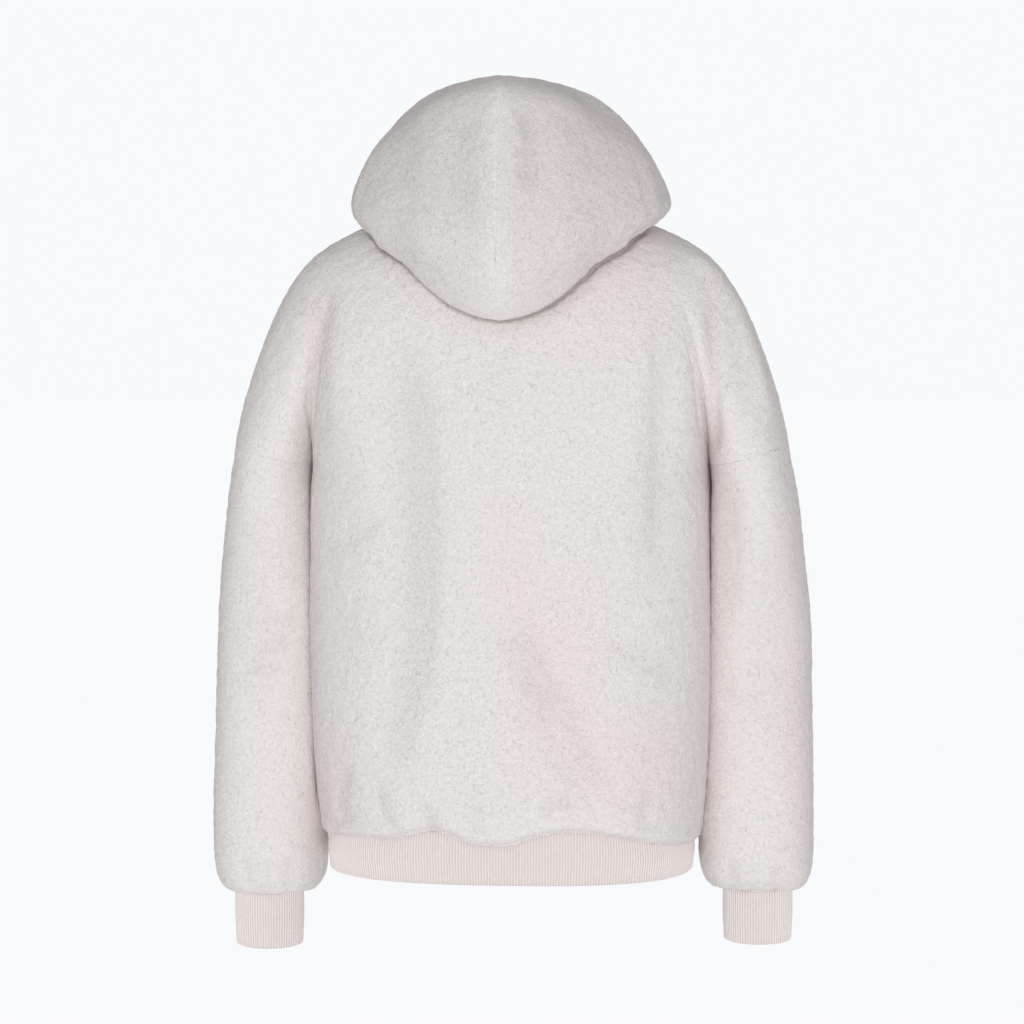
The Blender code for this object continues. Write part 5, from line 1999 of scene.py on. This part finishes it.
    def build(self) -> None:
        """Build the teeth and finish the other zip pieces."""
        self.build_teeth()
        self.dress_solid("zip_tape_left", self.finishes.tape, False)
        self.dress_solid("zip_tape_right", self.finishes.tape, False)
        self.dress_solid("zip_box", self.finishes.resin, True)
        self.dress_solid("zip_slider", self.finishes.zinc, True)
        self.dress_solid("zip_pull", self.finishes.zinc, True)


@dataclass
class Studio:
    """Plain pale floor, soft light and the camera."""

    floor_z: float = -1.25
    floor_reach: float = 40.0
    pale: str = "F8F9FB"
    fill: float = 0.5
    floor_glow: float = 0.95
    floor_albedo: float = 0.1
    lights: tuple[tuple[str, float, float, float, float], ...] = (
        ("key_behind", 192.0, -12.0, 20.0, 1.06),
        ("fill_behind", 170.0, -8.0, 50.0, 0.63),
        ("key_front", 14.0, -8.0, 20.0, 1.02),
        ("fill_front", -16.0, -6.0, 50.0, 0.58),
    )
    azimuth: float = 185.0
    elevation: float = 3.5
    distance: float = 3.2
    middle_z: float = -0.307
    lens: float = 112.5
    sensor: float = 36.0
    seen: tuple[float, float] = (0.05, 200.0)

    def away(self, azimuth: float, elevation: float) -> Vector:
        """Direction from the garment at degrees round it, 0 in front, and degrees above the level."""
        a, e = math.radians(azimuth), math.radians(elevation)
        return Vector((math.sin(a) * math.cos(e), -math.cos(a) * math.cos(e), math.sin(e)))

    def aim(self, name: str, data: bpy.types.ID, azimuth: float, elevation: float) -> bpy.types.Object:
        """Make a camera's or a light's object that looks at the garment's middle.

        Args:
            name: Its name.
            data: The camera or light.
            azimuth: Degrees round the garment.
            elevation: Degrees above the level.

        Returns:
            The new object.
        """
        made = bpy.data.objects.new(name, data)
        back = self.away(azimuth, elevation)
        made.location = Vector((0.0, 0.0, self.middle_z)) + back * self.distance
        made.rotation_mode = "QUATERNION"
        made.rotation_quaternion = (-back).to_track_quat("-Z", "Y")
        bpy.context.collection.objects.link(made)
        return made

    def build_camera(self) -> None:
        """Camera behind the garment, a little above its middle."""
        data = bpy.data.cameras.new("camera")
        data.lens = self.lens
        data.sensor_width = self.sensor
        data.clip_start, data.clip_end = self.seen
        bpy.context.scene.camera = self.aim("camera", data, self.azimuth, self.elevation)

    def soft_light(self, name: str, azimuth: float, elevation: float, spread: float, power: float) -> None:
        """One large far light, as even over the whole garment as a studio's light bank.

        Args:
            name: Its name.
            azimuth: Degrees round the garment.
            elevation: Degrees above the level.
            spread: How wide it looks from the garment, in degrees.
            power: Its strength in watts on each square metre.
        """
        data = bpy.data.lights.new(name, "SUN")
        data.angle = math.radians(spread)
        data.energy = power
        self.aim(name, data, azimuth, elevation)

    def build_world(self) -> None:
        """Pale surroundings, seen brighter than they light."""
        world = bpy.data.worlds.new("studio")
        world.use_nodes = True
        tree = world.node_tree
        background = tree.nodes["Background"]
        background.inputs["Color"].default_value = linear(self.pale)
        path = tree.nodes.new("ShaderNodeLightPath")
        level = tree.nodes.new("ShaderNodeMapRange")
        level.inputs["To Min"].default_value = self.fill
        level.inputs["To Max"].default_value = 1.0
        tree.links.new(path.outputs["Is Camera Ray"], level.inputs["Value"])
        tree.links.new(level.outputs[0], background.inputs["Strength"])
        bpy.context.scene.world = world

    def build_floor(self) -> None:
        """Plain pale floor under the garment."""
        bpy.ops.object.select_all(action="DESELECT")
        bpy.ops.mesh.primitive_circle_add(vertices=96, radius=self.floor_reach, fill_type="NGON",
                                          location=(0.0, 0.0, self.floor_z))
        floor = bpy.context.active_object
        floor.name = "studio_floor"
        floor.data.materials.append(Shading("studio_paper").finish(
            Base_Color=(self.floor_albedo,) * 3 + (1.0,), Roughness=1.0, Specular_IOR_Level=0.0,
            Emission_Color=linear(self.pale), Emission_Strength=self.floor_glow))
        floor.visible_diffuse = False
        floor.visible_glossy = False
        floor.visible_shadow = False

    def build(self) -> None:
        """Build floor, surroundings, lights and camera."""
        bpy.context.scene.view_settings.view_transform = "Standard"
        self.build_world()
        self.build_floor()
        for light in self.lights:
            self.soft_light(*light)
        self.build_camera()


def main() -> None:
    """Build every piece of the hoodie and the studio."""
    logging.basicConfig(level=logging.INFO, format="%(name)s %(message)s")
    finishes = Finishes()
    form = BodyForm()
    relief = PileRelief()
    hood = Hood(form, relief, finishes)
    BodyPanels(form, relief, finishes, hood.lower_edge()).build()
    Sleeves(form, relief, finishes).build()
    hood.build()
    RibBands(form, finishes).build()
    Zip(form, finishes).build()
    Studio().build()


if __name__ == "__main__":
    main()
